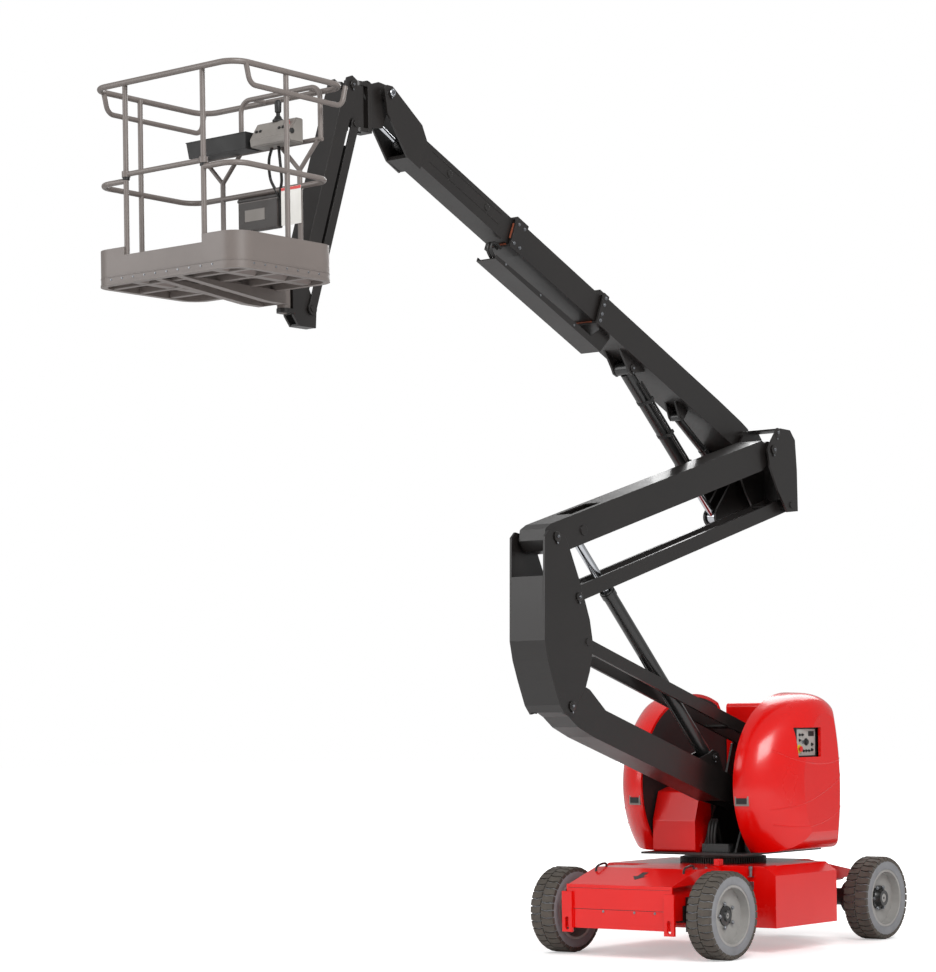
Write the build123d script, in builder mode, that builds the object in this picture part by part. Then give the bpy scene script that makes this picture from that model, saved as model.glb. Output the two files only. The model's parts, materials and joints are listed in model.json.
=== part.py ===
"""Articulating boom lift: a compact four-wheel machine with a folding tower, a telescopic boom and a jib.

Frame: +X is the way the boom points, +Y is the machine's left, +Z is up, in millimetres. The origin
is on the floor, below the middle of the machine's length and width. Side-view points are given as
(x, height), with x counted from the slew axis, which stands at slew_x. The tower stands left of the
middle and the boom right of it, so that the boom folds down beside the tower.
"""

from build123d import *
import os
from math import atan2, cos, degrees, hypot, radians, sin

os.makedirs("parts", exist_ok=True)

# ---------------------------------------------------------------- driving dimensions
slew_x = -2051.0
wheel_base = 2000.0
overall_width = 1500.0
tyre_diameter = 600.0
tyre_width = 190.0
kingpin_y = overall_width / 2 - 140.0
tower_y = 140.0
boom_y = -140.0
arm_half_width = 105.0
plate_gap = 128.0
plate_thickness = 16.0
pin_radius = 24.0
pin_clearance = 0.6
seat_gap = 0.3
lower_arm_angle = 17.3
upper_arm_angle = -15.7
boom_angle = 23.8
jib_angle = -70.66
lower_arm_length = 2255.0
upper_arm_length = 2684.0
jib_length = 1244.0
deck_height = 600.0
turret_floor = 665.0
basket_half_width = 582.0
basket_depth = 847.0
rail_radius = 17.0


def turned(start, angle, distance):
    """The point a distance away from start, in the side view, along an angle in degrees."""
    return (start[0] + distance * cos(radians(angle)), start[1] + distance * sin(radians(angle)))


def plus(start, step):
    """The point that lies one step, given as (x, z), away from start."""
    return (start[0] + step[0], start[1] + step[1])


def distance_between(start, end):
    """The distance between two side-view points."""
    return hypot(end[0] - start[0], end[1] - start[1])


def angle_between(start, end):
    """The angle in degrees, in the side view, of the line from start to end."""
    return degrees(atan2(end[1] - start[1], end[0] - start[0]))


# ---------------------------------------------------------------- side-view pins
lower_arm_pin = (0.0, 1050.0)
knee_lower_pin = turned(lower_arm_pin, lower_arm_angle, lower_arm_length)
lower_link_offset = (-183.0, 417.0)
lower_link_pin = plus(lower_arm_pin, lower_link_offset)
knee_lower_link_pin = plus(knee_lower_pin, lower_link_offset)
knee_upper_pin = plus(knee_lower_pin, (138.0, 1094.0))
upper_link_offset = (-230.0, -385.0)
knee_upper_link_pin = plus(knee_upper_pin, upper_link_offset)
knuckle_arm_pin = turned(knee_upper_pin, 180.0 + upper_arm_angle, upper_arm_length)
knuckle_link_pin = plus(knuckle_arm_pin, upper_link_offset)
tower_cylinder_foot = plus(lower_arm_pin, (400.0, 304.0))
tower_cylinder_head = plus(knee_upper_pin, (-342.0, 57.0))
boom_pin = plus(knuckle_arm_pin, (-57.0, 126.0))
boom_cylinder_foot = plus(knuckle_arm_pin, (142.0, -467.0))
master_foot = plus(knuckle_arm_pin, (63.0, -129.0))


def on_boom(along, up):
    """The side-view point at a distance along and above the boom's pivot line."""
    return turned(turned(boom_pin, boom_angle, along), boom_angle + 90.0, up)


boom_cylinder_head = on_boom(1329.0, -168.0)
master_head = on_boom(639.0, -177.0)
slave_foot = on_boom(3560.0, -60.0)
nose_pin = on_boom(4257.0, 156.0)
slave_head = plus(nose_pin, (63.0, -166.0))
jib_pin = plus(nose_pin, (347.0, -3.0))
jib_link_offset = (-48.0, -228.0)
jib_link_pin = plus(jib_pin, jib_link_offset)
jib_cylinder_head = plus(jib_pin, (-30.0, -106.0))
jib_cylinder_foot = turned(jib_pin, jib_angle, 780.0)
foot_pin = turned(jib_pin, jib_angle, jib_length)
foot_link_pin = plus(foot_pin, jib_link_offset)
swing_x = jib_pin[0] - 129.0
basket_turn_x = foot_pin[0] + 150.0
basket_back = basket_turn_x + 159.0
basket_front = basket_back + basket_depth
basket_floor_z = foot_pin[1] - 116.0
top_rail_z = basket_floor_z + 1115.0

# Bands across the machine, as (low y, high y)
tower_near_plate = (tower_y + plate_gap, tower_y + plate_gap + plate_thickness)
tower_far_plate = (tower_y - plate_gap - plate_thickness, tower_y - plate_gap)
lower_link_bands = ((tower_y + 84.0, tower_y + 105.0), (tower_y - 105.0, tower_y - 84.0))
upper_link_bands = ((tower_y + 58.0, tower_y + 79.0), (tower_y - 79.0, tower_y - 58.0))


# ---------------------------------------------------------------- planes and shared forms
def side_plane(point=(0.0, 0.0), angle=0.0, y=0.0):
    """A vertical plane along the machine at a side-view point, its x axis tilted up by angle."""
    tilt = radians(angle)
    return Plane(origin=(slew_x + point[0], y, point[1]), x_dir=(cos(tilt), 0, sin(tilt)), z_dir=(0, -1, 0))


def cross_plane(x):
    """A vertical plane across the machine, with local x to the left and local y up."""
    return Plane(origin=(slew_x + x, 0, 0), x_dir=(0, 1, 0), z_dir=(1, 0, 0))


def level_plane(z):
    """A level plane at height z whose origin is on the slew axis."""
    return Plane(origin=(slew_x, 0, z), x_dir=(1, 0, 0), z_dir=(0, 0, 1))


def add_slab(points, low_y, high_y, origin=(0.0, 0.0), angle=0.0, corner=0.0, mode=Mode.ADD):
    """Add a flat slab to the open part: a side-view outline between two values of y."""
    with BuildSketch(side_plane(origin, angle, high_y)) as outline:
        with BuildLine():
            Polyline(*points, close=True)
        make_face()
        if corner:
            fillet(outline.vertices(), corner)
    extrude(outline.sketch, amount=high_y - low_y, mode=mode)


def add_round(point, radius, low_y, high_y, mode=Mode.ADD):
    """Add a round bar across the machine, centred on a side-view point, to the open part."""
    with BuildSketch(side_plane(point, 0.0, high_y)) as outline:
        Circle(radius)
    extrude(outline.sketch, amount=high_y - low_y, mode=mode)


def add_box(x_range, y_range, z_range, mode=Mode.ADD):
    """Add an upright block to the open part, from its ranges along x, y and z."""
    with BuildSketch(level_plane(z_range[0])) as outline:
        with Locations(((x_range[0] + x_range[1]) / 2, (y_range[0] + y_range[1]) / 2)):
            Rectangle(x_range[1] - x_range[0], y_range[1] - y_range[0])
    extrude(outline.sketch, amount=z_range[1] - z_range[0], mode=mode)


def add_tube(start, end, radius, mode=Mode.ADD):
    """Add a straight round bar between two points, given as (x from the slew axis, y, z)."""
    here = Vector(slew_x + start[0], start[1], start[2])
    there = Vector(slew_x + end[0], end[1], end[2])
    with BuildSketch(Plane(origin=here, z_dir=there - here)) as outline:
        Circle(radius)
    extrude(outline.sketch, amount=(there - here).length, mode=mode)


def finish_piece(piece, name):
    """Label a finished piece and write it to its own file."""
    piece.label = name
    export_step(piece, f"parts/{name}.step")


# ---------------------------------------------------------------- wheels
rim_radius = 205.0
rim_dish = 62.0
rim_wall = 14.0
disc_thickness = 16.0
wheel_inner_y = overall_width / 2 - tyre_width
wheel_face_y = overall_width / 2 - rim_dish
disc_back_y = wheel_face_y - 26.0
stud_circle = 84.0


def wheel_plane(x, side, y):
    """A plane square to an axle, at a wheel, whose normal points out of the machine."""
    return Plane(origin=(slew_x + x, side * y, tyre_diameter / 2), x_dir=(1, 0, 0), z_dir=(0, side, 0))


def make_tyre(x, side):
    """A solid rubber tyre with bevelled shoulders."""
    with BuildPart() as tyre:
        with BuildSketch(wheel_plane(x, side, wheel_inner_y)):
            Circle(tyre_diameter / 2)
            Circle(rim_radius + 3, mode=Mode.SUBTRACT)
        extrude(amount=tyre_width)
        shoulders = tyre.edges().filter_by(GeomType.CIRCLE).group_by(SortBy.RADIUS)[-1]
        chamfer(shoulders, 14.0)
    return tyre.part


def make_rim(x, side, hub_radius, hub_reach, stud_count):
    """A dished steel rim with its hub cap and wheel studs."""
    with BuildPart() as rim:
        with BuildSketch(wheel_plane(x, side, wheel_inner_y + 4)):
            Circle(rim_radius + 2.5)
            Circle(rim_radius - rim_wall, mode=Mode.SUBTRACT)
        extrude(amount=tyre_width - 10)
        with BuildSketch(wheel_plane(x, side, disc_back_y)):
            Circle(rim_radius - rim_wall + 4)
        extrude(amount=disc_thickness)
        with BuildSketch(wheel_plane(x, side, disc_back_y + disc_thickness)):
            Circle(hub_radius + 28)
        extrude(amount=8)
        with BuildSketch(wheel_plane(x, side, disc_back_y + disc_thickness)):
            Circle(hub_radius)
        extrude(amount=hub_reach)
        with BuildSketch(wheel_plane(x, side, disc_back_y + disc_thickness)):
            with PolarLocations(stud_circle, stud_count):
                Circle(9)
        extrude(amount=18)
    return rim.part


for wheel_name, wheel_x, wheel_side in (
    ("front_left", wheel_base / 2, 1),
    ("front_right", wheel_base / 2, -1),
    ("rear_left", -wheel_base / 2, 1),
    ("rear_right", -wheel_base / 2, -1),
):
    finish_piece(make_tyre(wheel_x, wheel_side), f"{wheel_name}_tyre")
    if wheel_x > 0:
        finish_piece(make_rim(wheel_x, wheel_side, 34, 22, 5), f"{wheel_name}_rim")
    else:
        finish_piece(make_rim(wheel_x, wheel_side, 56, 46, 6), f"{wheel_name}_rim")

# ---------------------------------------------------------------- axles and steering
axle_z = tyre_diameter / 2
front_axle_x = wheel_base / 2
ear_half_height = 118.0
ear_thickness = 28.0
ear_radius = 40.0
axle_beam_end = kingpin_y - 215.0


def ear_plane(z):
    """A level plane at the front axle."""
    return Plane(origin=(slew_x + front_axle_x, 0, z), x_dir=(1, 0, 0), z_dir=(0, 0, 1))


for side_name, side in (("left", 1), ("right", -1)):
    with BuildPart() as steering_knuckle:
        with BuildSketch(ear_plane(axle_z - ear_half_height + ear_thickness + 3)):
            with Locations((0, side * kingpin_y)):
                Circle(36)
        extrude(amount=2 * (ear_half_height - ear_thickness - 3))
        with BuildSketch(wheel_plane(front_axle_x, side, kingpin_y)):
            Circle(45)
        extrude(amount=disc_back_y - 1 - kingpin_y)
    finish_piece(steering_knuckle.part, f"steering_knuckle_{side_name}")

with BuildPart() as front_axle:
    with BuildSketch(cross_plane(front_axle_x - 70)):
        with Locations((0, axle_z)):
            Rectangle(2 * axle_beam_end, 110)
    extrude(amount=140)
    for side in (1, -1):
        with BuildSketch(cross_plane(front_axle_x - 45)):
            with Locations((side * (axle_beam_end + 20), axle_z)):
                Rectangle(50, 2 * ear_half_height)
        extrude(amount=90)
        for ear_bottom in (axle_z - ear_half_height, axle_z + ear_half_height - ear_thickness):
            with BuildSketch(ear_plane(ear_bottom)):
                with Locations((0, side * (axle_beam_end + kingpin_y) / 2)):
                    Rectangle(2 * ear_radius, kingpin_y - axle_beam_end)
                with Locations((0, side * kingpin_y)):
                    Circle(ear_radius)
            extrude(amount=ear_thickness)
finish_piece(front_axle.part, "front_axle")

with BuildPart() as rear_axle:
    with BuildSketch(wheel_plane(-wheel_base / 2, 1, 130 - wheel_inner_y)):
        Circle(62)
    extrude(amount=2 * (wheel_inner_y - 130))
    with BuildSketch(cross_plane(-wheel_base / 2 - 110)):
        with Locations((0, axle_z)):
            Rectangle(360, 220)
    extrude(amount=220)
    for side in (1, -1):
        with BuildSketch(wheel_plane(-wheel_base / 2, side, wheel_inner_y - 135)):
            Circle(118)
        extrude(amount=140)
        with BuildSketch(wheel_plane(-wheel_base / 2, side, wheel_inner_y + 5)):
            Circle(70)
        extrude(amount=disc_back_y - wheel_inner_y - 6)
finish_piece(rear_axle.part, "rear_axle")

# ---------------------------------------------------------------- chassis
spine_half_width = 300.0
bonnet_half_width = 385.0
bonnet_lip_half_width = 430.0
front_plate_x = 1262.0
ridge_x = 950.0
box_front_x = 480.0
box_rear_x = -310.0
box_bottom_z = 180.0
box_shoulder_z = 540.0
box_top_half_width = 660.0
tail_x = -1200.0
tie_plate_y = (385.0, 468.0)
tie_slot_length = 90.0
tie_slot_width = 34.0
tie_slot_z = 230.0

with BuildPart() as chassis_frame:
    spine = ((tail_x + 60, 420), (-310, 300), (-310, 200), (front_plate_x, 200), (front_plate_x, 500),
             (ridge_x, deck_height), (-520, deck_height), (tail_x, 480))
    add_slab(spine, -spine_half_width, spine_half_width)
    bonnet = ((690, 260), (front_plate_x, 260), (front_plate_x, 500), (ridge_x, deck_height), (690, deck_height))
    add_slab(bonnet, -bonnet_half_width, bonnet_half_width)
    bonnet_lip = ((690, 515), (front_plate_x, 490), (front_plate_x, 500), (ridge_x, deck_height),
                  (690, deck_height))
    add_slab(bonnet_lip, -bonnet_lip_half_width, bonnet_lip_half_width)
    rear_deck = ((tail_x, 440), (box_rear_x, 440), (box_rear_x, deck_height), (-520, deck_height), (tail_x, 480))
    add_slab(rear_deck, -bonnet_half_width, bonnet_half_width)
    for side in (1, -1):
        box_section = ((side * (spine_half_width - 10), box_bottom_z), (side * overall_width / 2, box_bottom_z),
                       (side * overall_width / 2, box_shoulder_z), (side * box_top_half_width, deck_height),
                       (side * (spine_half_width - 10), deck_height))
        with BuildSketch(cross_plane(box_rear_x)):
            with BuildLine():
                Polyline(*box_section, close=True)
            make_face()
        extrude(amount=box_front_x - box_rear_x)
    add_box((front_plate_x, front_plate_x + 16), (-440, 440), (200, 500))
    for side in (1, -1):
        with BuildSketch(cross_plane(front_plate_x + 16)):
            with Locations((side * sum(tie_plate_y) / 2, 310)):
                Rectangle(tie_plate_y[1] - tie_plate_y[0], 280)
            with Locations((side * sum(tie_plate_y) / 2, tie_slot_z)):
                SlotOverall(tie_slot_length, tie_slot_width, rotation=90, mode=Mode.SUBTRACT)
        extrude(amount=20)
    # Room for the axles below the frame
    add_box((front_axle_x - 75, front_axle_x + 75), (-600, 600), (100, axle_z + 60), mode=Mode.SUBTRACT)
    rear_axle_x = -wheel_base / 2
    add_box((rear_axle_x - 115, rear_axle_x + 115), (-600, 600), (100, axle_z + 115), mode=Mode.SUBTRACT)
finish_piece(chassis_frame.part, "chassis_frame")

with BuildPart() as slew_ring:
    with BuildSketch(level_plane(deck_height)):
        Circle(295)
    extrude(amount=30)
    with BuildSketch(level_plane(deck_height + 30)):
        Circle(275)
    extrude(amount=turret_floor - seat_gap - deck_height - 30)
finish_piece(slew_ring.part, "slew_ring")

# ---------------------------------------------------------------- turret
well_half_width = 384.0
cover_inner_y = 390.0
cover_outer_y = 742.0
cover_wall = 22.0
tail_radius = 850.0
floor_top = turret_floor + 15.0
panel_x = (-140.0, 125.0)
panel_z = (1345.0, 1550.0)
link_boss_radius = 45.0

with BuildPart() as turret_frame:
    with BuildSketch(level_plane(turret_floor)):
        Circle(tail_radius - 90)
        with Locations((tail_radius + 405, 0)):
            Rectangle(2 * tail_radius, 2 * tail_radius, mode=Mode.SUBTRACT)
        for side in (1, -1):
            with Locations((0, side * (430 + tail_radius))):
                Rectangle(2 * tail_radius, 2 * tail_radius, mode=Mode.SUBTRACT)
    extrude(amount=floor_top - turret_floor)
    pivot_plate = ((-430, floor_top), (260, floor_top), (105, 1000), (90, 1110), (-40, 1215), (-125, 1440),
                   (-183, 1450), (-190, 1390), (-215, 1200), (-260, 1130), (-430, 1080))
    for low_y, high_y in (tower_near_plate, tower_far_plate):
        add_slab(pivot_plate, low_y, high_y)
        add_round(lower_arm_pin, 105, low_y, high_y)
        add_round(lower_link_pin, link_boss_radius, low_y, high_y)
    add_box((-420, -395), (tower_far_plate[1] - 2, tower_near_plate[0] + 2), (floor_top, 1075))
    add_round(lower_arm_pin, pin_radius, tower_far_plate[0] - 4, tower_near_plate[1] + 14)
    # The lower link turns on two stubs, so that the upper link can fold down between them
    add_round(lower_link_pin, pin_radius, tower_y + 82, tower_near_plate[1] + 14)
    add_round(lower_link_pin, pin_radius, tower_far_plate[0] - 4, tower_y - 82)
finish_piece(turret_frame.part, "turret_frame")

with BuildPart() as counterweight:
    with BuildSketch(level_plane(floor_top)):
        Circle(tail_radius - 8)
        with Locations((tail_radius - 610, 0)):
            Rectangle(2 * tail_radius, 2 * tail_radius, mode=Mode.SUBTRACT)
        for side in (1, -1):
            with Locations((0, side * (well_half_width + tail_radius))):
                Rectangle(2 * tail_radius, 2 * tail_radius, mode=Mode.SUBTRACT)
    extrude(amount=470)
finish_piece(counterweight.part, "counterweight")

with BuildPart() as rear_hood:
    hood_outline = ((-828, floor_top + 470), (-640, floor_top + 470), (-640, 1730), (-740, 1730), (-818, 1560))
    add_slab(hood_outline, -well_half_width, well_half_width, corner=30)
finish_piece(rear_hood.part, "rear_hood")


def cover_face(y, front_share, rear_share, z_share, inset):
    """The outline of a turret cover at one distance from the middle, drawn in at its front, rear and top."""
    middle = (-205.0, 1215.0)

    def spot(x, z):
        """A point of the outline, pulled towards the middle."""
        reach_x = (x - middle[0]) * (front_share if x > middle[0] else rear_share)
        reach_z = (z - middle[1]) * z_share
        shrink = 1.0 - inset / max(hypot(reach_x, reach_z), 1.0)
        return (middle[0] + reach_x * shrink, middle[1] + reach_z * shrink)

    with BuildSketch(side_plane((0.0, 0.0), 0.0, y)) as outline:
        with BuildLine():
            ThreePointArc(spot(235, floor_top), spot(450, 1130), spot(130, 1700))
            ThreePointArc(spot(130, 1700), spot(-215, 1800), spot(-610, 1735))
            ThreePointArc(spot(-610, 1735), spot(-835, 1240), spot(-740, floor_top))
            Line(spot(-740, floor_top), spot(235, floor_top))
        make_face()
    return outline.sketch


cover_sections = ((cover_inner_y, 1.0, 0.84, 1.0), (540.0, 0.95, 0.68, 0.99), (665.0, 0.75, 0.47, 0.93),
                  (cover_outer_y, 0.44, 0.28, 0.74))

for side_name, side in (("left", 1), ("right", -1)):
    with BuildPart() as cover:
        loft([cover_face(side * y, *shares, 0.0) for y, *shares in cover_sections])
        loft([cover_face(side * (y - cover_wall), *shares, cover_wall) for y, *shares in cover_sections],
             mode=Mode.SUBTRACT)
        add_box((-900, 500), (-800, 800), (turret_floor - 20, floor_top), mode=Mode.SUBTRACT)
        if side == 1:
            add_box(panel_x, (640, 760), panel_z, mode=Mode.SUBTRACT)
    finish_piece(cover.part, f"cover_{side_name}")

with BuildPart() as ground_control_panel:
    add_box((panel_x[0] + 1, panel_x[1] - 1), (676, 700), (panel_z[0] + 1, panel_z[1] - 1))
finish_piece(ground_control_panel.part, "ground_control_panel")

with BuildPart() as centre_cover:
    nose = ((125, floor_top), (330, floor_top), (330, 900), (260, 1105), (125, 1140))
    add_slab(nose, -well_half_width + 8, tower_far_plate[0] - 10, corner=18)
finish_piece(centre_cover.part, "centre_cover")


# ---------------------------------------------------------------- tower
arm_wall = 8.0
lug_thickness = 20.0

with BuildPart() as lower_arm:
    box_start = 345.0
    tip = lower_arm_length
    arm_box = ((box_start, -112), (tip - 330, -112), (tip - 150, -98), (tip - 35, -62), (tip + 40, -52),
               (tip + 66, 0), (tip + 46, 48), (tip - 60, 130), (tip - 161, 179), (tip - 209, 176),
               (tip - 414, 96), (box_start, 94))
    low_y = tower_y - arm_half_width
    high_y = tower_y + arm_half_width
    add_slab(arm_box, low_y, high_y, lower_arm_pin, lower_arm_angle)
    hollow = ((box_start - 1, -104), (tip - 330, -104), (tip - 160, -90), (tip - 160, 86), (box_start - 1, 86))
    add_slab(hollow, low_y + arm_wall, high_y - arm_wall, lower_arm_pin, lower_arm_angle, mode=Mode.SUBTRACT)
    for lug_low in (low_y, high_y - lug_thickness):
        rear_lug = ((0, -78), (box_start + 60, -112), (box_start + 60, 94), (0, 78))
        add_slab(rear_lug, lug_low, lug_low + lug_thickness, lower_arm_pin, lower_arm_angle)
        add_round(lower_arm_pin, 78, lug_low, lug_low + lug_thickness)
    for lug_low in (tower_y + 54, tower_y - 70):
        foot_bracket = ((box_start + 5, 60), (box_start + 330, 92), (530, 190), (500, 216), (440, 216),
                        (box_start + 5, 120))
        add_slab(foot_bracket, lug_low, lug_low + 16, lower_arm_pin, lower_arm_angle)
    add_round(tower_cylinder_foot, pin_radius, tower_y - 76, tower_y + 76)
    for hole_point in (lower_arm_pin, knee_lower_pin):
        add_round(hole_point, pin_radius + pin_clearance, low_y - 1, high_y + 1, mode=Mode.SUBTRACT)
finish_piece(lower_arm.part, "lower_arm")


def make_link(start, end, bands, half_height, start_gap, end_gap):
    """A pair of parallel bars between two pins, joined by cross plates at both ends."""
    angle = angle_between(start, end)
    length = distance_between(start, end)
    with BuildPart() as link:
        for low_y, high_y in bands:
            bar = ((0, -half_height), (length, -half_height), (length, half_height), (0, half_height))
            add_slab(bar, low_y, high_y, start, angle)
            for pin_point in (start, end):
                add_round(pin_point, half_height, low_y, high_y)
        cross_low = min(band[0] for band in bands)
        cross_high = max(band[1] for band in bands)
        for along in (start_gap, length - end_gap - 60):
            cross = ((along, -half_height + 4), (along + 60, -half_height + 4), (along + 60, -half_height + 16),
                     (along, -half_height + 16))
            add_slab(cross, cross_low, cross_high, start, angle)
        for pin_point in (start, end):
            add_round(pin_point, pin_radius + pin_clearance, cross_low - 1, cross_high + 1, mode=Mode.SUBTRACT)
    return link.part


finish_piece(make_link(lower_link_pin, knee_lower_link_pin, lower_link_bands, 43.0, 400.0, 130.0), "lower_link")
finish_piece(make_link(knee_upper_link_pin, knuckle_link_pin, upper_link_bands, 50.0, 150.0, 150.0), "upper_link")

with BuildPart() as knee:
    knee_outline = ((125, -1), (82, 37), (-88, 12), (-140, -76), (-233, -262), (-295, -404), (-347, -533),
                    (-376, -677), (-363, -775), (-339, -867), (-293, -971), (-137, -1133), (-61, -1146),
                    (-9, -1087), (62, -926), (112, -798), (141, -670), (129, -157))
    for low_y, high_y in (tower_near_plate, tower_far_plate):
        add_slab(knee_outline, low_y, high_y, knee_upper_pin)
    front_cover = ((-50, -1134), (-9, -1087), (62, -926), (112, -798), (141, -670), (133, -255),
                   (121, -255), (129, -668), (100, -794), (51, -920), (-19, -1079), (-59, -1125))
    add_slab(front_cover, tower_far_plate[1] - 1, tower_near_plate[0] + 1, knee_upper_pin)
    for pin_point in (knee_lower_pin, knee_lower_link_pin, knee_upper_pin, knee_upper_link_pin):
        add_round(pin_point, pin_radius, tower_far_plate[0] - 6, tower_near_plate[1] + 8)
finish_piece(knee.part, "knee")

with BuildPart() as upper_arm:
    low_y = tower_y - arm_half_width
    high_y = tower_y + arm_half_width
    # The outline runs from the rear pin towards the front pin
    arm_box = ((20, -60), (70, -100), (130, -123), (upper_arm_length - 60, -123), (upper_arm_length + 50, -78),
               (upper_arm_length + 84, 0), (upper_arm_length + 50, 68), (upper_arm_length - 20, 84), (70, 84),
               (20, 40))
    add_slab(arm_box, low_y, high_y, knuckle_arm_pin, upper_arm_angle)
    hollow = ((76, -80), (136, -113), (upper_arm_length - 80, -113), (upper_arm_length - 80, 74), (76, 74))
    add_slab(hollow, low_y + arm_wall, high_y - arm_wall, knuckle_arm_pin, upper_arm_angle, mode=Mode.SUBTRACT)
    add_round(knuckle_arm_pin, 62, low_y + 6, high_y - 6)
    # The tower cylinder comes in through the underside
    slot_start = upper_arm_length - 1150
    slot = ((slot_start, -130), (upper_arm_length - 120, -130), (upper_arm_length - 120, -100), (slot_start, -100))
    add_slab(slot, tower_y - 66, tower_y + 66, knuckle_arm_pin, upper_arm_angle, mode=Mode.SUBTRACT)
    # Access opening in the top, over the head of the cylinder, which leaves it room with the tower folded
    access = ((upper_arm_length - 640, 70), (upper_arm_length - 300, 70), (upper_arm_length - 300, 90),
              (upper_arm_length - 640, 90))
    add_slab(access, tower_y - 66, tower_y + 66, knuckle_arm_pin, upper_arm_angle, mode=Mode.SUBTRACT)
    for hole_point in (knuckle_arm_pin, knee_upper_pin):
        add_round(hole_point, pin_radius + pin_clearance, low_y - 1, high_y + 1, mode=Mode.SUBTRACT)
    for cap_low in (low_y - 8, high_y):
        add_round(tower_cylinder_head, 34, cap_low, cap_low + 8)
finish_piece(upper_arm.part, "upper_arm")

boom_side_plate = (boom_y - 152.0, boom_y - 136.0)
cylinder_lugs = ((boom_y - 54.0, boom_y - 38.0), (boom_y + 38.0, boom_y + 54.0))
with BuildPart() as rear_knuckle:
    tower_side = ((72, -8), (18, 67), (-50, 143), (-90, 160), (-224, 155), (-289, 87), (-310, -129), (-316, -426),
                  (-182, -439), (-52, -288), (48, -114))
    boom_side = ((72, -8), (60, 90), (10, 190), (-60, 216), (-130, 196), (-289, 87), (-310, -129), (-316, -426),
                 (-182, -439), (90, -330), (80, -114))
    for low_y, high_y in (tower_near_plate, tower_far_plate):
        add_slab(tower_side, low_y, high_y, knuckle_arm_pin)
    add_slab(boom_side, *boom_side_plate, knuckle_arm_pin)
    back = ((-316, -426), (-303, -426), (-297, -129), (-277, 82), (-289, 87), (-310, -129))
    add_slab(back, boom_side_plate[0] + 1, tower_near_plate[1] - 1, knuckle_arm_pin)
    top = ((-90, 149), (-90, 160), (-224, 155), (-224, 144))
    add_slab(top, tower_far_plate[0] + 1, tower_near_plate[1] - 1, knuckle_arm_pin)
    shelf = ((-310, -190), (-40, -190), (-40, -176), (-310, -176))
    add_slab(shelf, boom_side_plate[0] + 1, tower_far_plate[1] - 1, knuckle_arm_pin)
    foot_lug = ((-310, -426), (-180, -436), (100, -520), (165, -522), (202, -467), (175, -410), (-40, -176),
                (-310, -176))
    for lug_low, lug_high in cylinder_lugs:
        add_slab(foot_lug, lug_low, lug_high, knuckle_arm_pin)
        add_round(boom_cylinder_foot, 60, lug_low, lug_high)
    for lug_low, lug_high in ((boom_y - 54.0, boom_y - 40.0), (boom_y + 40.0, boom_y + 54.0)):
        master_lug = ((-60, -180), (40, -180), (104, -129), (86, -100), (40, -96))
        add_slab(master_lug, lug_low, lug_high, knuckle_arm_pin)
    for pin_point in (knuckle_arm_pin, knuckle_link_pin):
        add_round(pin_point, pin_radius, tower_far_plate[0] - 6, tower_near_plate[1] + 8)
    add_round(boom_pin, 32, boom_side_plate[0] - 8, tower_far_plate[1] - 2)
finish_piece(rear_knuckle.part, "rear_knuckle")


# ---------------------------------------------------------------- cylinders
gland_step = 5.0


def along_plane(start, end, y, distance=0.0):
    """A plane square to the line between two side-view points, at a distance along it."""
    angle = radians(angle_between(start, end))
    spot = turned(start, degrees(angle), distance)
    return Plane(origin=(slew_x + spot[0], y, spot[1]), x_dir=(0, 1, 0), z_dir=(cos(angle), 0, sin(angle)))


def make_barrel(start, end, y, radius, length, bore, eye_radius, eye_width, hole):
    """A cylinder's barrel with its mounting eye, its bore open at the rod's end."""
    with BuildPart() as barrel:
        with BuildSketch(along_plane(start, end, y, eye_radius * 0.7)):
            Circle(radius)
        extrude(amount=length - eye_radius * 0.7)
        with BuildSketch(along_plane(start, end, y, length - 60)):
            Circle(radius + gland_step)
        extrude(amount=45)
        add_round(start, eye_radius, y - eye_width / 2, y + eye_width / 2)
        with BuildSketch(along_plane(start, end, y, eye_radius + 20)):
            Circle(bore + 1.0)
        extrude(amount=length, mode=Mode.SUBTRACT)
        add_round(start, hole + pin_clearance, y - eye_width, y + eye_width, mode=Mode.SUBTRACT)
    return barrel.part


def make_rod(start, end, y, radius, length, eye_radius, eye_width, stub):
    """A cylinder's rod, with the eye at its outer end and the short pin that the eye turns on."""
    reach = distance_between(start, end)
    with BuildPart() as rod:
        with BuildSketch(along_plane(start, end, y, reach - length)):
            Circle(radius)
        extrude(amount=length - eye_radius * 0.7)
        add_round(end, eye_radius, y - eye_width / 2, y + eye_width / 2)
        add_round(end, pin_radius - 6, y - stub, y + stub)
    return rod.part


cylinder_table = (
    # name, barrel pin, rod pin, y, barrel radius and share of the length between the pins, rod radius and share,
    # eye radius, barrel eye width, rod eye width, pin radius
    ("tower_cylinder", tower_cylinder_foot, tower_cylinder_head, tower_y, 48, 0.7516, 30, 0.77, 44, 104, 66,
     pin_radius),
    ("boom_cylinder", boom_cylinder_head, boom_cylinder_foot, boom_y, 45, 0.7403, 28, 0.7677, 44, 104, 64,
     pin_radius),
    ("levelling_master", master_head, master_foot, boom_y, 28, 0.6867, 14, 0.7179, 28, 66, 44, 16),
    ("levelling_slave", slave_foot, slave_head, boom_y, 28, 0.6824, 14, 0.726, 26, 66, 40, 16),
    ("jib_cylinder", jib_cylinder_foot, jib_cylinder_head, boom_y, 26, 0.8227, 15, 0.8949, 24, 62, 36, 16),
)
for (title, start, end, y, barrel_radius, barrel_share, rod_radius, rod_share, eye, barrel_eye_width,
     rod_eye_width, hole) in cylinder_table:
    reach = distance_between(start, end)
    finish_piece(make_barrel(start, end, y, barrel_radius, barrel_share * reach, rod_radius, eye, barrel_eye_width,
                             hole), f"{title}_barrel")
    finish_piece(make_rod(start, end, y, rod_radius, rod_share * reach, eye, rod_eye_width, rod_eye_width / 2 + 3),
                 f"{title}_rod")


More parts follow.
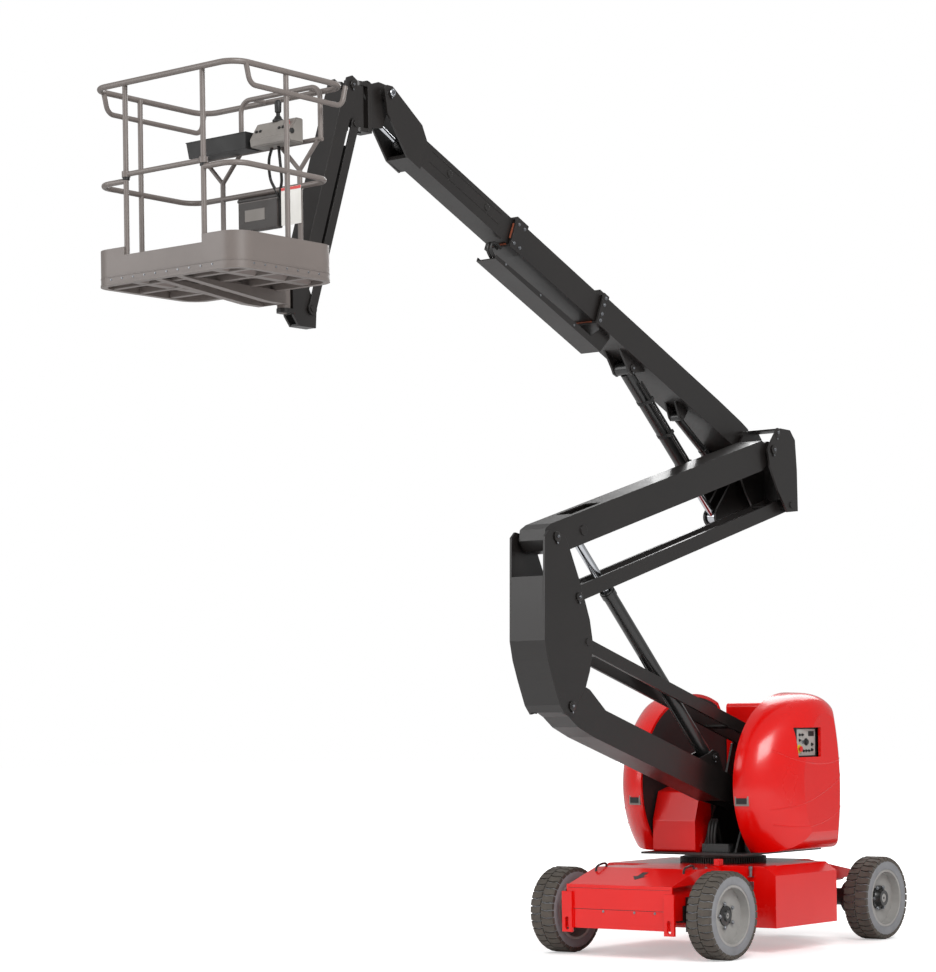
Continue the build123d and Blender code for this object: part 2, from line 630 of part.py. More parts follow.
# ---------------------------------------------------------------- telescopic boom
base_half_width = 116.0
mid_half_width = 96.0
fly_half_width = 76.0
boom_wall = 6.0
base_section = (-116.0, 98.0)
mid_section = (-107.0, 89.0)
fly_section = (-98.0, 80.0)
base_front = 1875.0
mid_back = 900.0
mid_front = 2880.0
fly_back = 1700.0
fly_front = 3905.0


def add_boom_slab(points, low_y, high_y, mode=Mode.ADD):
    """Add a slab drawn in the boom's own frame, along and above its pivot line."""
    add_slab(points, low_y, high_y, boom_pin, boom_angle, mode=mode)


def add_boom_box(along, section, half_width, mode=Mode.ADD):
    """Add a box section of the boom between two distances along it."""
    low, high = section
    add_boom_slab(((along[0], low), (along[1], low), (along[1], high), (along[0], high)),
                  boom_y - half_width, boom_y + half_width, mode=mode)


def inside(section, wall):
    """A section's range up the boom, less its walls."""
    return (section[0] + wall, section[1] - wall)


with BuildPart() as boom_base:
    heel = ((-95, -60), (-30, -106), (60, base_section[0]), (base_front, base_section[0]),
            (base_front, base_section[1]), (350, base_section[1]), (40, base_section[1] - 6), (-60, 84), (-118, 30),
            (-118, -20))
    add_boom_slab(heel, boom_y - base_half_width, boom_y + base_half_width)
    add_boom_box((base_front - 60, base_front), (base_section[0] - 10, base_section[1] + 10), base_half_width + 10)
    add_boom_box((base_front - 375, base_front - 20), (base_section[1] - 5, base_section[1] + 26), 60)
    add_boom_box((130, base_front + 1), inside(base_section, boom_wall), base_half_width - boom_wall,
                 mode=Mode.SUBTRACT)
    # Brackets below for the boom cylinder and the levelling cylinder
    for lug_low in (boom_y + 57, boom_y - 71):
        head_lug = ((1180, -112), (1520, -112), (1385, -188), (1350, -214), (1308, -212), (1285, -180))
        add_boom_slab(head_lug, lug_low, lug_low + 16)
    for lug_low in (boom_y + 36, boom_y - 48):
        master_lug = ((590, -112), (760, -112), (668, -196), (639, -206), (612, -190))
        add_boom_slab(master_lug, lug_low, lug_low + 12)
    add_round(boom_cylinder_head, pin_radius, boom_y - 78, boom_y + 78)
    add_round(master_head, 16, boom_y - 54, boom_y + 54)
    # Hose tray that reaches forward below the sliding sections
    add_boom_box((base_front - 161, mid_front + 70), (-254, -246), 80)
    for low_y, high_y in ((boom_y - 80, boom_y - 74), (boom_y + 74, boom_y + 80)):
        tray_side = ((base_front - 161, -254), (mid_front + 70, -254), (mid_front + 70, -226),
                     (base_front + 85, -206), (base_front - 25, -206), (base_front - 105, -112),
                     (base_front - 225, -112))
        add_boom_slab(tray_side, low_y, high_y)
    add_round(boom_pin, 32 + pin_clearance, boom_y - 130, boom_y + 130, mode=Mode.SUBTRACT)
finish_piece(boom_base.part, "boom_base")

with BuildPart() as boom_mid:
    add_boom_box((mid_back, mid_front), mid_section, mid_half_width)
    add_boom_box((mid_front - 125, mid_front), (mid_section[0] - 12, mid_section[1] + 12), mid_half_width + 12)
    add_boom_box((mid_back - 1, mid_front + 1), inside(mid_section, boom_wall), mid_half_width - boom_wall,
                 mode=Mode.SUBTRACT)
finish_piece(boom_mid.part, "boom_mid")

with BuildPart() as boom_fly:
    add_boom_box((fly_back, fly_front), fly_section, fly_half_width)
    add_boom_box((fly_back - 1, fly_front + 1), inside(fly_section, boom_wall), fly_half_width - boom_wall,
                 mode=Mode.SUBTRACT)
    nose_plate = ((3835, -132), (3968, -129), (4239, 26), (4321, 147), (4309, 182), (4262, 202), (4225, 196),
                  (3925, 136), (3848, 72))
    for low_y in (boom_y - fly_half_width - 14, boom_y + fly_half_width):
        add_boom_slab(nose_plate, low_y, low_y + 14)
    add_boom_box((3835, 3968), (-128, -99), fly_half_width + 2)
    for low_y in (boom_y - 48, boom_y + 36):
        slave_lug = ((3520, -94), (3610, -94), (3590, -36), (3530, -36))
        add_boom_slab(slave_lug, low_y, low_y + 12)
    add_round(slave_foot, 16, boom_y - 52, boom_y + 52)
    add_round(nose_pin, pin_radius, boom_y - fly_half_width - 22, boom_y + fly_half_width + 22)
finish_piece(boom_fly.part, "boom_fly")

# ---------------------------------------------------------------- levelling bracket, swing and jib
post_radius = 40.0
post_bottom = jib_link_pin[1] - 8.0
post_top = jib_pin[1] + 20.0
lug_height = 26.0
turn_top_z = foot_pin[1] - 112.0
turn_bottom_z = foot_pin[1] - 243.0
bracket_bands = ((boom_y - 40.0, boom_y - 26.0), (boom_y + 26.0, boom_y + 40.0))
link_half_width = 56.0
link_half_depth = 32.0
jib_half_width = 78.0

with BuildPart() as levelling_bracket:
    side_outline = ((-52, -40), (30, -216), (95, -222), (171, -240), (171, 30), (60, 66), (-20, 58), (-56, 20))
    for low_y, high_y in bracket_bands:
        add_slab(side_outline, low_y, high_y, nose_pin)
    add_slab(((138, -266), (171, -266), (171, 30), (138, 44)), boom_y - 48, boom_y + 48, nose_pin)
    add_slab(((20, 20), (140, 10), (140, 36), (60, 60), (20, 58)), boom_y - 39, boom_y + 39, nose_pin)
    add_round(nose_pin, 44, boom_y - 70, boom_y + 70)
    for low_z in (post_bottom - lug_height - 1, post_top + 1):
        add_box((nose_pin[0] + 150, swing_x), (boom_y - 44, boom_y + 44), (low_z, low_z + lug_height))
        with BuildSketch(level_plane(low_z)):
            with Locations((swing_x, boom_y)):
                Circle(44)
        extrude(amount=lug_height)
    add_round(nose_pin, pin_radius + pin_clearance, boom_y - 80, boom_y + 80, mode=Mode.SUBTRACT)
    with BuildSketch(level_plane(post_bottom - lug_height - 2)):
        with Locations((swing_x, boom_y)):
            Circle(20 + pin_clearance)
    extrude(amount=post_top - post_bottom + 3 * lug_height, mode=Mode.SUBTRACT)
finish_piece(levelling_bracket.part, "levelling_bracket")

with BuildPart() as swing_bracket:
    with BuildSketch(level_plane(post_bottom)):
        with Locations((swing_x, boom_y)):
            Circle(post_radius)
    extrude(amount=post_top - post_bottom)
    with BuildSketch(level_plane(post_bottom - lug_height - 8)):
        with Locations((swing_x, boom_y)):
            Circle(20)
    extrude(amount=post_top - post_bottom + 2 * lug_height + 16)
    cheek = ((-129, -230), (-74, -230), (-70, -256), (-48, -264), (-20, -252), (-14, -130), (30, -10), (20, 30),
             (-20, 36), (-78, 14), (-129, 14))
    for low_y, high_y in bracket_bands:
        add_slab(cheek, low_y, high_y, jib_pin)
        outer = 1 if low_y > boom_y else -1
        for pin_point, reach in ((jib_pin, jib_half_width + 8), (jib_link_pin, link_half_width + 6)):
            stub = sorted((boom_y + outer * 30, boom_y + outer * reach))
            add_round(pin_point, 20, *stub)
finish_piece(swing_bracket.part, "swing_bracket")


def add_jib_slab(points, low_y, high_y, origin, mode=Mode.ADD):
    """Add a slab drawn along the hanging jib, with its second axis towards the front."""
    add_slab([(along, -out) for along, out in points], low_y, high_y, origin, jib_angle, mode=mode)


with BuildPart() as jib_arm:
    # Second axis positive towards the boom, where the channel is open
    for low_y in (boom_y - jib_half_width, boom_y + jib_half_width - 12):
        side_wall = ((-20, -58), (jib_length + 30, -58), (jib_length + 45, 0), (jib_length + 30, 40),
                     (jib_length - 120, 44), (0, 44), (-46, 28), (-52, -20))
        add_jib_slab(side_wall, low_y, low_y + 12, jib_pin)
    front_wall = ((60, -58), (jib_length - 70, -58), (jib_length - 70, -48), (60, -48))
    add_jib_slab(front_wall, boom_y - jib_half_width, boom_y + jib_half_width, jib_pin)
    for low_y in (boom_y - 46, boom_y + 34):
        add_jib_slab(((730, -50), (840, -50), (810, 24), (760, 24)), low_y, low_y + 12, jib_pin)
    add_round(jib_cylinder_foot, 16, boom_y - 52, boom_y + 52)
    for pin_point in (jib_pin, foot_pin):
        add_round(pin_point, 20 + pin_clearance, boom_y - 90, boom_y + 90, mode=Mode.SUBTRACT)
finish_piece(jib_arm.part, "jib_arm")

with BuildPart() as jib_link:
    for low_y in (boom_y - link_half_width, boom_y + link_half_width - 10):
        side_wall = ((0, -link_half_depth), (jib_length, -link_half_depth), (jib_length, link_half_depth),
                     (0, link_half_depth))
        add_jib_slab(side_wall, low_y, low_y + 10, jib_link_pin)
        for pin_point in (jib_link_pin, foot_link_pin):
            add_round(pin_point, 36, low_y, low_y + 10)
    # The web stops short of the foot and of the cylinder eye, which swing past it when the jib is raised
    web = ((125, link_half_depth - 8), (jib_length - 190, link_half_depth - 8), (jib_length - 190, link_half_depth),
           (125, link_half_depth))
    add_jib_slab(web, boom_y - link_half_width, boom_y + link_half_width, jib_link_pin)
    for pin_point in (jib_link_pin, foot_link_pin):
        add_round(pin_point, 20 + pin_clearance, boom_y - 70, boom_y + 70, mode=Mode.SUBTRACT)
finish_piece(jib_link.part, "jib_link")

with BuildPart() as jib_foot:
    foot_cheek = ((-34, 26), (20, 34), (110, 20), (110, -280), (60, -340), (-90, -340), (-96, -250), (-84, -200),
                  (-34, -110))
    for low_y, high_y in bracket_bands:
        add_slab(foot_cheek, low_y, high_y, foot_pin)
    add_slab(((98, -275), (110, -275), (110, 20), (98, 22)), boom_y - 39, boom_y + 39, foot_pin)
    add_slab(((-86, -340), (62, -340), (62, -328), (-86, -328)), boom_y - 39, boom_y + 39, foot_pin)
    for low_z in (turn_bottom_z - 1 - lug_height, turn_top_z + 1):
        add_box((foot_pin[0] + 98, basket_turn_x), (boom_y - 44, boom_y + 44), (low_z, low_z + lug_height))
        with BuildSketch(level_plane(low_z)):
            with Locations((basket_turn_x, boom_y)):
                Circle(44)
        extrude(amount=lug_height)
    with BuildSketch(level_plane(turn_bottom_z - 2 * lug_height)):
        with Locations((basket_turn_x, boom_y)):
            Circle(20 + pin_clearance)
    extrude(amount=turn_top_z - turn_bottom_z + 4 * lug_height, mode=Mode.SUBTRACT)
    for outer in (1, -1):
        for pin_point, reach in ((foot_pin, jib_half_width + 8), (foot_link_pin, link_half_width + 6)):
            stub = sorted((boom_y + outer * 30, boom_y + outer * reach))
            add_round(pin_point, 20, *stub)
finish_piece(jib_foot.part, "jib_foot")

# ---------------------------------------------------------------- basket
basket_corner = 130.0
board_thickness = 6.0
board_top_z = basket_floor_z + 157.0
entry_board_z = basket_floor_z + 110.0
entry_half_width = 310.0
frame_bottom_z = basket_floor_z - 53.0
tread_inset = 45.0
tread_rise = 3.0
rail_inset = board_thickness + rail_radius + 0.5
rail_corner = 110.0
rail_flare = 12.0
top_rail_back = basket_back - 98.0
top_rail_middle_z = top_rail_z - rail_radius
second_rail_z = top_rail_middle_z - 120.0
mid_rail_z = basket_floor_z + 537.0
console_bar_z = basket_floor_z + 790.0
hoop_z = basket_floor_z + 1098.0
rail_front_x = basket_front - rail_inset
rail_back_x = basket_back + rail_inset
rail_side = basket_half_width - rail_inset
post_tube = 15.5
carrier_tube = 14.0
collar_bottom_z = mid_rail_z + rail_radius + 3.0
collar_height = 34.0


def basket_outline(z, inset):
    """The basket's rounded floor outline at one height, drawn smaller by an inset."""
    length = basket_front - basket_back
    with BuildSketch(level_plane(z)) as outline:
        with Locations(((basket_front + basket_back) / 2, boom_y)):
            RectangleRounded(length - 2 * inset, 2 * (basket_half_width - inset), basket_corner - inset)
    return outline.sketch


def add_basket_layer(low_z, high_z, inset, mode=Mode.ADD):
    """Add or cut a level layer of the basket's outline."""
    extrude(basket_outline(low_z, inset), amount=high_z - low_z, mode=mode)


def add_bent_tube(points, bend, radius=rail_radius):
    """Add a round tube along a line of points, its corners bent to one radius."""
    corners = [(slew_x + x, y, z) for x, y, z in points]
    with BuildLine() as centre_line:
        FilletPolyline(*corners, radius=bend)
    start = centre_line.line @ 0
    with BuildSketch(Plane(origin=start, z_dir=centre_line.line % 0)) as section:
        Circle(radius)
    sweep(sections=section.sketch, path=centre_line.line)


with BuildPart() as basket_floor:
    add_basket_layer(frame_bottom_z, board_top_z, 0.0)
    add_basket_layer(basket_floor_z - tread_rise, board_top_z + 1, board_thickness, mode=Mode.SUBTRACT)
    add_basket_layer(frame_bottom_z - 1, basket_floor_z - 12, 38.0, mode=Mode.SUBTRACT)
    # The tread plate lies inside the feet of the posts
    add_basket_layer(basket_floor_z - tread_rise, basket_floor_z, tread_inset)
    add_box((basket_front - 20, basket_front + 1), (boom_y - entry_half_width, boom_y + entry_half_width),
            (entry_board_z, board_top_z + 1), mode=Mode.SUBTRACT)
    for low_y, high_y in ((boom_y - 110, boom_y - 60), (boom_y + 60, boom_y + 110)):
        beam = ((basket_depth - 20, -45), (10, -45), (-60, -15), (-60, -119), (90, -119), (basket_depth - 60, -53))
        add_slab(beam, low_y, high_y, (basket_back, basket_floor_z))
    add_box((basket_back - 60, basket_back - 48), (boom_y - 61, boom_y + 61),
            (basket_floor_z - 119, basket_floor_z - 15))
    add_box((basket_turn_x, basket_back - 50), (boom_y - 40, boom_y + 40),
            (basket_floor_z - 105, basket_floor_z - 25))
    with BuildSketch(level_plane(turn_bottom_z)):
        with Locations((basket_turn_x, boom_y)):
            Circle(post_radius)
    extrude(amount=turn_top_z - turn_bottom_z)
    with BuildSketch(level_plane(turn_bottom_z - 30)):
        with Locations((basket_turn_x, boom_y)):
            Circle(20)
    extrude(amount=turn_top_z - turn_bottom_z + 60)
finish_piece(basket_floor.part, "basket_floor")

with BuildPart() as basket_rails:
    left = boom_y + rail_side
    right = boom_y - rail_side
    entry_posts = (boom_y - entry_half_width, boom_y + entry_half_width)
    post_foot_z = basket_floor_z - tread_rise
    flare_x = rail_front_x + rail_flare
    flare_left = left + rail_flare
    flare_right = right - rail_flare
    add_bent_tube(((flare_x, boom_y, top_rail_middle_z), (flare_x, flare_left, top_rail_middle_z),
                   (top_rail_back, flare_left, top_rail_middle_z), (top_rail_back, flare_right, top_rail_middle_z),
                   (flare_x, flare_right, top_rail_middle_z), (flare_x, boom_y + 1, top_rail_middle_z)),
                  rail_corner)
    add_bent_tube(((rail_front_x, entry_posts[1], mid_rail_z), (rail_front_x, left, mid_rail_z),
                   (rail_back_x, left, mid_rail_z), (rail_back_x, right, mid_rail_z),
                   (rail_front_x, right, mid_rail_z), (rail_front_x, entry_posts[0], mid_rail_z)),
                  rail_corner, rail_radius - 1)
    for side_y in (flare_left, flare_right):
        add_bent_tube(((basket_back - 92, side_y, top_rail_middle_z), (basket_back - 60, side_y, second_rail_z),
                       (rail_front_x - 113, side_y, second_rail_z), (rail_front_x - 81, side_y, top_rail_middle_z)),
                      60, rail_radius - 2)
    for post_y in entry_posts:
        add_tube((rail_front_x, post_y, post_foot_z), (rail_front_x, post_y, top_rail_middle_z), post_tube)
        add_tube((rail_back_x, post_y, post_foot_z), (rail_back_x, post_y, console_bar_z - 155), post_tube)
    for post_x, side_y in ((basket_front - 387, right), (basket_front - 445, left)):
        add_tube((post_x, side_y, post_foot_z), (post_x, side_y, top_rail_middle_z), post_tube)
    # Console bar, its Y-shaped carriers, and the hoop over the console
    add_tube((rail_back_x, -630, console_bar_z), (rail_back_x, 350, console_bar_z), carrier_tube)
    for post_y in entry_posts:
        for side in (1, -1):
            add_tube((rail_back_x, post_y, console_bar_z - 160), (rail_back_x, post_y + side * 150, console_bar_z),
                     carrier_tube - 1)
    add_bent_tube(((rail_back_x, -293, console_bar_z), (rail_back_x, -293, hoop_z), (rail_back_x, 337, hoop_z),
                   (rail_back_x, 337, console_bar_z)), 70, rail_radius - 2)
    for tie_y in (-200, 240):
        add_tube((rail_back_x, tie_y, hoop_z), (top_rail_back, tie_y, top_rail_middle_z), carrier_tube - 1)
    # Box for papers on the back of the mid rail
    add_box((rail_back_x - 50, rail_back_x - 10), (-335, -18), (basket_floor_z + 325, mid_rail_z))
finish_piece(basket_rails.part, "basket_rails")

with BuildPart() as platform_console:
    console_low_z = console_bar_z - carrier_tube
    bracket_z = console_bar_z + carrier_tube
    console_back_x = rail_back_x + rail_radius + 3
    add_box((console_back_x, console_back_x + 126), (-93, 222), (console_low_z, console_low_z + 146))
    add_box((console_back_x, console_back_x + 141), (-600, -110), (console_low_z, console_low_z + 96))
    add_box((console_back_x + 8, console_back_x + 133), (-592, -118), (console_low_z + 8, console_low_z + 97),
            mode=Mode.SUBTRACT)
    add_box((console_back_x, console_back_x + 40), (-115, -90), (console_low_z, console_low_z + 70))
    add_box((rail_back_x, console_back_x + 10), (-60, 190), (bracket_z, bracket_z + 12))
finish_piece(platform_console.part, "platform_console")

with BuildPart() as drop_bar:
    bar_z = collar_bottom_z + collar_height / 2
    for post_y in entry_posts:
        add_tube((rail_front_x, post_y, collar_bottom_z), (rail_front_x, post_y, collar_bottom_z + collar_height),
                 rail_radius + 8)
    add_tube((rail_front_x, entry_posts[0], bar_z), (rail_front_x, entry_posts[1], bar_z), rail_radius - 2)
    for post_y in entry_posts:
        with BuildSketch(level_plane(collar_bottom_z - 1)):
            with Locations((rail_front_x, post_y)):
                Circle(post_tube + pin_clearance)
        extrude(amount=collar_height + 2, mode=Mode.SUBTRACT)
finish_piece(drop_bar.part, "drop_bar")
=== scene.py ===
"""Looks of the articulating boom lift: paint, rubber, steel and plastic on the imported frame, and its trim.

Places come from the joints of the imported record, from rays cast at the nodes and from millimetres
counted from the slew axis. The frame is in metres, with +X towards the front, +Y left and +Z up.
"""

from __future__ import annotations

import json
import logging
import math
from dataclasses import dataclass
from enum import Enum
from typing import Callable, Sequence

import bmesh
import bpy
from mathutils import Matrix, Vector

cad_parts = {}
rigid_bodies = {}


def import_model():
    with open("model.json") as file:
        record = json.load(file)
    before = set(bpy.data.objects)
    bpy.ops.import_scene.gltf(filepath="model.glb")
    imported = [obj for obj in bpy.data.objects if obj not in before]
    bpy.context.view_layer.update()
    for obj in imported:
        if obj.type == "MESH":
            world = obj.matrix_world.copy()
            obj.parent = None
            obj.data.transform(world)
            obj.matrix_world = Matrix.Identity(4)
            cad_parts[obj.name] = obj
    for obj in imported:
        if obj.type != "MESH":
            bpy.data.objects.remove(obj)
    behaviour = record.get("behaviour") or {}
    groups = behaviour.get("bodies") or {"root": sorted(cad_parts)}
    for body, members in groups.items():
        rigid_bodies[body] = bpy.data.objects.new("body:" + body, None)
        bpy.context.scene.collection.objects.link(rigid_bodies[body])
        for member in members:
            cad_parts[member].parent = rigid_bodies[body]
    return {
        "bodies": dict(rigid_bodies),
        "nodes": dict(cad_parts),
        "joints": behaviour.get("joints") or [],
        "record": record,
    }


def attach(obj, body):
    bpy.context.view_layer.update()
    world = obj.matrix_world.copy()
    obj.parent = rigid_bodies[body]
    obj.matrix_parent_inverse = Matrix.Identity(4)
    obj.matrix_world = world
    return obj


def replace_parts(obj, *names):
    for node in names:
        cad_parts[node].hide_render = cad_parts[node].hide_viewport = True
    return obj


LOG = logging.getLogger("boom_lift")
MM = 0.001
UP = Vector((0.0, 0.0, 1.0))
ACROSS = Vector((0.0, 1.0, 0.0))
AHEAD = Vector((1.0, 0.0, 0.0))
Placer = Callable[[float, float, float], Vector]
BlockRow = tuple[Sequence[float], Sequence[float], float]


# ---------------------------------------------------------------- colour and nodes
def linear(code: str) -> tuple[float, float, float, float]:
    """Turn an sRGB hex value into linear red, green, blue and alpha.

    Args:
        code: six hex digits.

    Returns:
        The linear colour with alpha 1.
    """
    parts = [int(code[i:i + 2], 16) / 255 for i in (0, 2, 4)]
    spread = [c / 12.92 if c <= 0.04045 else ((c + 0.055) / 1.055) ** 2.4 for c in parts]
    return (spread[0], spread[1], spread[2], 1.0)


def add_node(tree: bpy.types.NodeTree, kind: str, inputs: dict | None = None,
             **settings: object) -> bpy.types.Node:
    """Add one node with its settings, its input values and its incoming links.

    Args:
        tree: the tree that gets the node.
        kind: Blender's identifier of the node.
        inputs: input name or number to a value, or to the output socket that feeds it.
        settings: attributes of the node.

    Returns:
        The new node.
    """
    node = tree.nodes.new(kind)
    for key, value in settings.items():
        setattr(node, key, value)
    for key, value in (inputs or {}).items():
        if isinstance(value, bpy.types.NodeSocket):
            tree.links.new(value, node.inputs[key])
        else:
            node.inputs[key].default_value = value
    return node


class Sheen(Enum):
    """How a paint film was finished."""

    GLOSS = 0.22
    SATIN = 0.40


@dataclass(frozen=True)
class Finish:
    """A finish, with what its surface is made of and how it varies.

    The two scales are the sizes in millimetres of the slow colour change and of the fine grain.
    """

    name: str
    colour: str
    second: str
    roughness: float
    metallic: float = 0.0
    coat: float = 0.0
    patch_mm: float = 350.0
    patch_share: float = 0.5
    grain_mm: float = 6.0
    grain_depth_mm: float = 0.05
    edge_mm: float = 0.0
    slot: str = "black_plastic"

    def build(self) -> bpy.types.Material:
        """Make the material.

        Returns:
            A node material that reads Object coordinates.
        """
        material = bpy.data.materials.new(self.name)
        material.use_nodes = True
        tree = material.node_tree
        tree.nodes.clear()
        place = add_node(tree, "ShaderNodeTexCoord").outputs["Object"]
        patch = add_node(tree, "ShaderNodeTexNoise",
                         {"Vector": place, "Scale": 1000 / self.patch_mm, "Detail": 5.0, "Roughness": 0.6})
        grain = add_node(tree, "ShaderNodeTexNoise",
                         {"Vector": place, "Scale": 1000 / self.grain_mm, "Detail": 3.0, "Roughness": 0.6})
        spread = add_node(tree, "ShaderNodeMapRange",
                          {"Value": patch.outputs["Fac"], "From Min": 0.35, "From Max": 0.7, "To Min": 0.0,
                           "To Max": self.patch_share})
        colour = add_node(tree, "ShaderNodeMix",
                          {"Factor": spread.outputs[0], 6: linear(self.colour), 7: linear(self.second)},
                          data_type="RGBA")
        rough = add_node(tree, "ShaderNodeMapRange",
                         {"Value": patch.outputs["Fac"], "From Min": 0.3, "From Max": 0.75,
                          "To Min": max(0.04, self.roughness - 0.06), "To Max": self.roughness + 0.09})
        bump_inputs = {"Height": grain.outputs["Fac"], "Strength": 0.6, "Distance": self.grain_depth_mm * MM}
        if self.edge_mm > 0.0:
            edge = add_node(tree, "ShaderNodeBevel", {"Radius": self.edge_mm * MM}, samples=4)
            bump_inputs["Normal"] = edge.outputs[0]
        bump = add_node(tree, "ShaderNodeBump", bump_inputs)
        shader = add_node(tree, "ShaderNodeBsdfPrincipled",
                          {"Base Color": colour.outputs[2], "Roughness": rough.outputs[0],
                           "Normal": bump.outputs[0], "Metallic": self.metallic, "IOR": 1.5})
        shader.inputs["Coat Weight"].default_value = self.coat
        shader.inputs["Coat Roughness"].default_value = 0.08
        add_node(tree, "ShaderNodeOutputMaterial", {"Surface": shader.outputs[0]})
        return material


# Baked polyester powder over steel: an even, deep gloss with a faint orange peel
RED_POWDER_COAT = Finish("red_gloss_powder_coat", "E00400", "CA0300", Sheen.GLOSS.value, coat=0.2,
                         patch_mm=900, patch_share=0.35, grain_mm=5, grain_depth_mm=0.03, edge_mm=3.0,
                         slot="red_paint")
# Dark brown-black two-pack enamel, sprayed: satin, with a little dust in its hollows
DARK_ENAMEL = Finish("charcoal_brown_satin_enamel", "161312", "1F1B19", Sheen.SATIN.value, coat=0.15,
                     patch_mm=600, patch_share=0.6, grain_mm=5, grain_depth_mm=0.04, edge_mm=3.0,
                     slot="dark_paint")
# Black enamel of the cylinders: smoother and a little cooler
BLACK_ENAMEL = Finish("black_gloss_cylinder_enamel", "191919", "242322", 0.28, coat=0.35, patch_mm=300,
                      patch_share=0.4, grain_depth_mm=0.02, edge_mm=1.5, slot="dark_paint")
# Warm grey powder coat of the basket
GREY_POWDER_COAT = Finish("warm_grey_satin_powder_coat", "6F6763", "625B57", Sheen.SATIN.value,
                          patch_mm=500, grain_mm=4, grain_depth_mm=0.04, edge_mm=2.0,
                          slot="warm_grey_paint")
# Light grey stoved enamel of the wheel discs
RIM_ENAMEL = Finish("light_grey_rim_enamel", "A3A19E", "8A8783", 0.45, patch_mm=120, patch_share=0.6,
                    grain_mm=4, edge_mm=1.5, slot="light_rim")
# Non-marking grey rubber: matt, cloudy, with a mould grain
GREY_RUBBER = Finish("grey_non_marking_rubber", "8C8D90", "77777A", 0.72, patch_mm=160, patch_share=0.7,
                     grain_mm=3, grain_depth_mm=0.15, edge_mm=1.5, slot="tyre")
# The dark, worn running band of the same tyres
TREAD_RUBBER = Finish("worn_tread_rubber", "4A443E", "5C554D", 0.78, patch_mm=70, patch_share=0.8,
                      grain_mm=3, grain_depth_mm=0.2, edge_mm=1.5, slot="tyre")
# Ground and hard-chromed rod: a mirror with a very fine grain
HARD_CHROME = Finish("hard_chrome_on_ground_rod", "C9CCD0", "B9BCC2", 0.12, metallic=1.0, patch_mm=200,
                     grain_mm=2, grain_depth_mm=0.004, slot="chrome")
# Zinc-plated fasteners and pins: a soft grey metal
ZINC_STEEL = Finish("zinc_plated_steel", "8F9195", "7B7D80", 0.36, metallic=1.0, patch_mm=30,
                    patch_share=0.8, grain_mm=2, grain_depth_mm=0.02, edge_mm=0.6, slot="grey_metal")
# Oiled machined steel of the slewing ring
OILED_STEEL = Finish("oiled_machined_steel", "3A3937", "555350", 0.34, metallic=0.8, patch_mm=60,
                     patch_share=0.8, grain_mm=3, grain_depth_mm=0.03, edge_mm=0.8, slot="grey_metal")
# Injection-moulded ABS with a spark-eroded grain
BLACK_ABS = Finish("black_grained_abs", "1B1B1B", "232323", 0.55, patch_mm=120, patch_share=0.4,
                   grain_mm=2, grain_depth_mm=0.06, edge_mm=1.5)
# Grey moulded ABS of the console: the same grain, paler and a little smoother
GREY_ABS = Finish("grey_moulded_abs", "86817C", "7A7570", 0.5, patch_mm=120, patch_share=0.4, grain_mm=2,
                  edge_mm=1.5)
# Extruded hydraulic hose: black synthetic rubber
HOSE_RUBBER = Finish("black_hydraulic_hose", "151413", "1F1D1C", 0.5, patch_mm=60, grain_mm=2)
# Bronze-filled nylon of the wear pads
PAD_NYLON = Finish("red_brown_nylon_wear_pad", "7A3A22", "8C4830", 0.55, patch_mm=40, patch_share=0.6,
                   grain_mm=2, edge_mm=0.8)
# Yellow-passivated fittings: a warm glint among the black parts
YELLOW_ZINC = Finish("yellow_passivated_steel", "B79A4A", "9C8038", 0.35, metallic=1.0, patch_mm=20,
                     patch_share=0.8, grain_mm=2, grain_depth_mm=0.02, edge_mm=0.5, slot="grey_metal")
# Black ABS of the papers box, greyed by wear
DARK_ABS = Finish("dark_grey_moulded_abs", "35312F", "413C39", 0.5, patch_mm=90, patch_share=0.6,
                  grain_mm=2, grain_depth_mm=0.06, edge_mm=2.0)
# Pale grey plate of the ground controls
LIGHT_ABS = Finish("light_grey_control_plate", "A9A5A0", "989490", 0.45, patch_mm=60, patch_share=0.4,
                   grain_mm=2, grain_depth_mm=0.03, edge_mm=0.5)
# Yellow disc behind the stop button: flat and bright
YELLOW_VINYL = Finish("yellow_vinyl_disc", "D8C21C", "C9B31A", 0.4, patch_mm=20, patch_share=0.3,
                      grain_mm=2, grain_depth_mm=0.01)
# White vinyl of the blank sign: smooth and even
WHITE_VINYL = Finish("white_vinyl_plate", "E9E7E2", "DCD9D2", 0.4, patch_mm=80, patch_share=0.3,
                     grain_mm=3, grain_depth_mm=0.01, slot="warm_grey_paint")
# Signal-red moulded buttons: glossy
SIGNAL_RED = Finish("signal_red_button", "D01A12", "C0140E", 0.3, patch_mm=20, patch_share=0.3,
                    grain_mm=2, grain_depth_mm=0.01)


# The joint that places each large pin, and the pin's radius in millimetres
PIN_HEADS = (("tower_lift", 26), ("lower_link_turn", 22), ("knee_turn", 24), ("upper_arm_turn", 24),
             ("upper_link_turn", 22), ("rear_knuckle_turn", 24), ("boom_lift", 26),
             ("boom_cylinder_turn", 20), ("tower_cylinder_turn", 20), ("jib_lift", 18),
             ("jib_foot_turn", 18), ("level_turn", 18))


class Stock:
    """The finishes in use, each built once."""

    def __init__(self) -> None:
        """Start with no material built."""
        self.made: dict[str, bpy.types.Material] = {}

    def get(self, finish: Finish) -> bpy.types.Material:
        """Give the material of a finish, building it the first time."""
        if finish.name not in self.made:
            self.made[finish.name] = finish.build()
        return self.made[finish.name]


STOCK = Stock()
SLOT_FINISH = {
    "red_paint": RED_POWDER_COAT, "dark_paint": DARK_ENAMEL, "warm_grey_paint": GREY_POWDER_COAT,
    "light_rim": RIM_ENAMEL, "tyre": GREY_RUBBER, "chrome": HARD_CHROME, "black_plastic": BLACK_ABS,
    "grey_metal": OILED_STEEL,
}


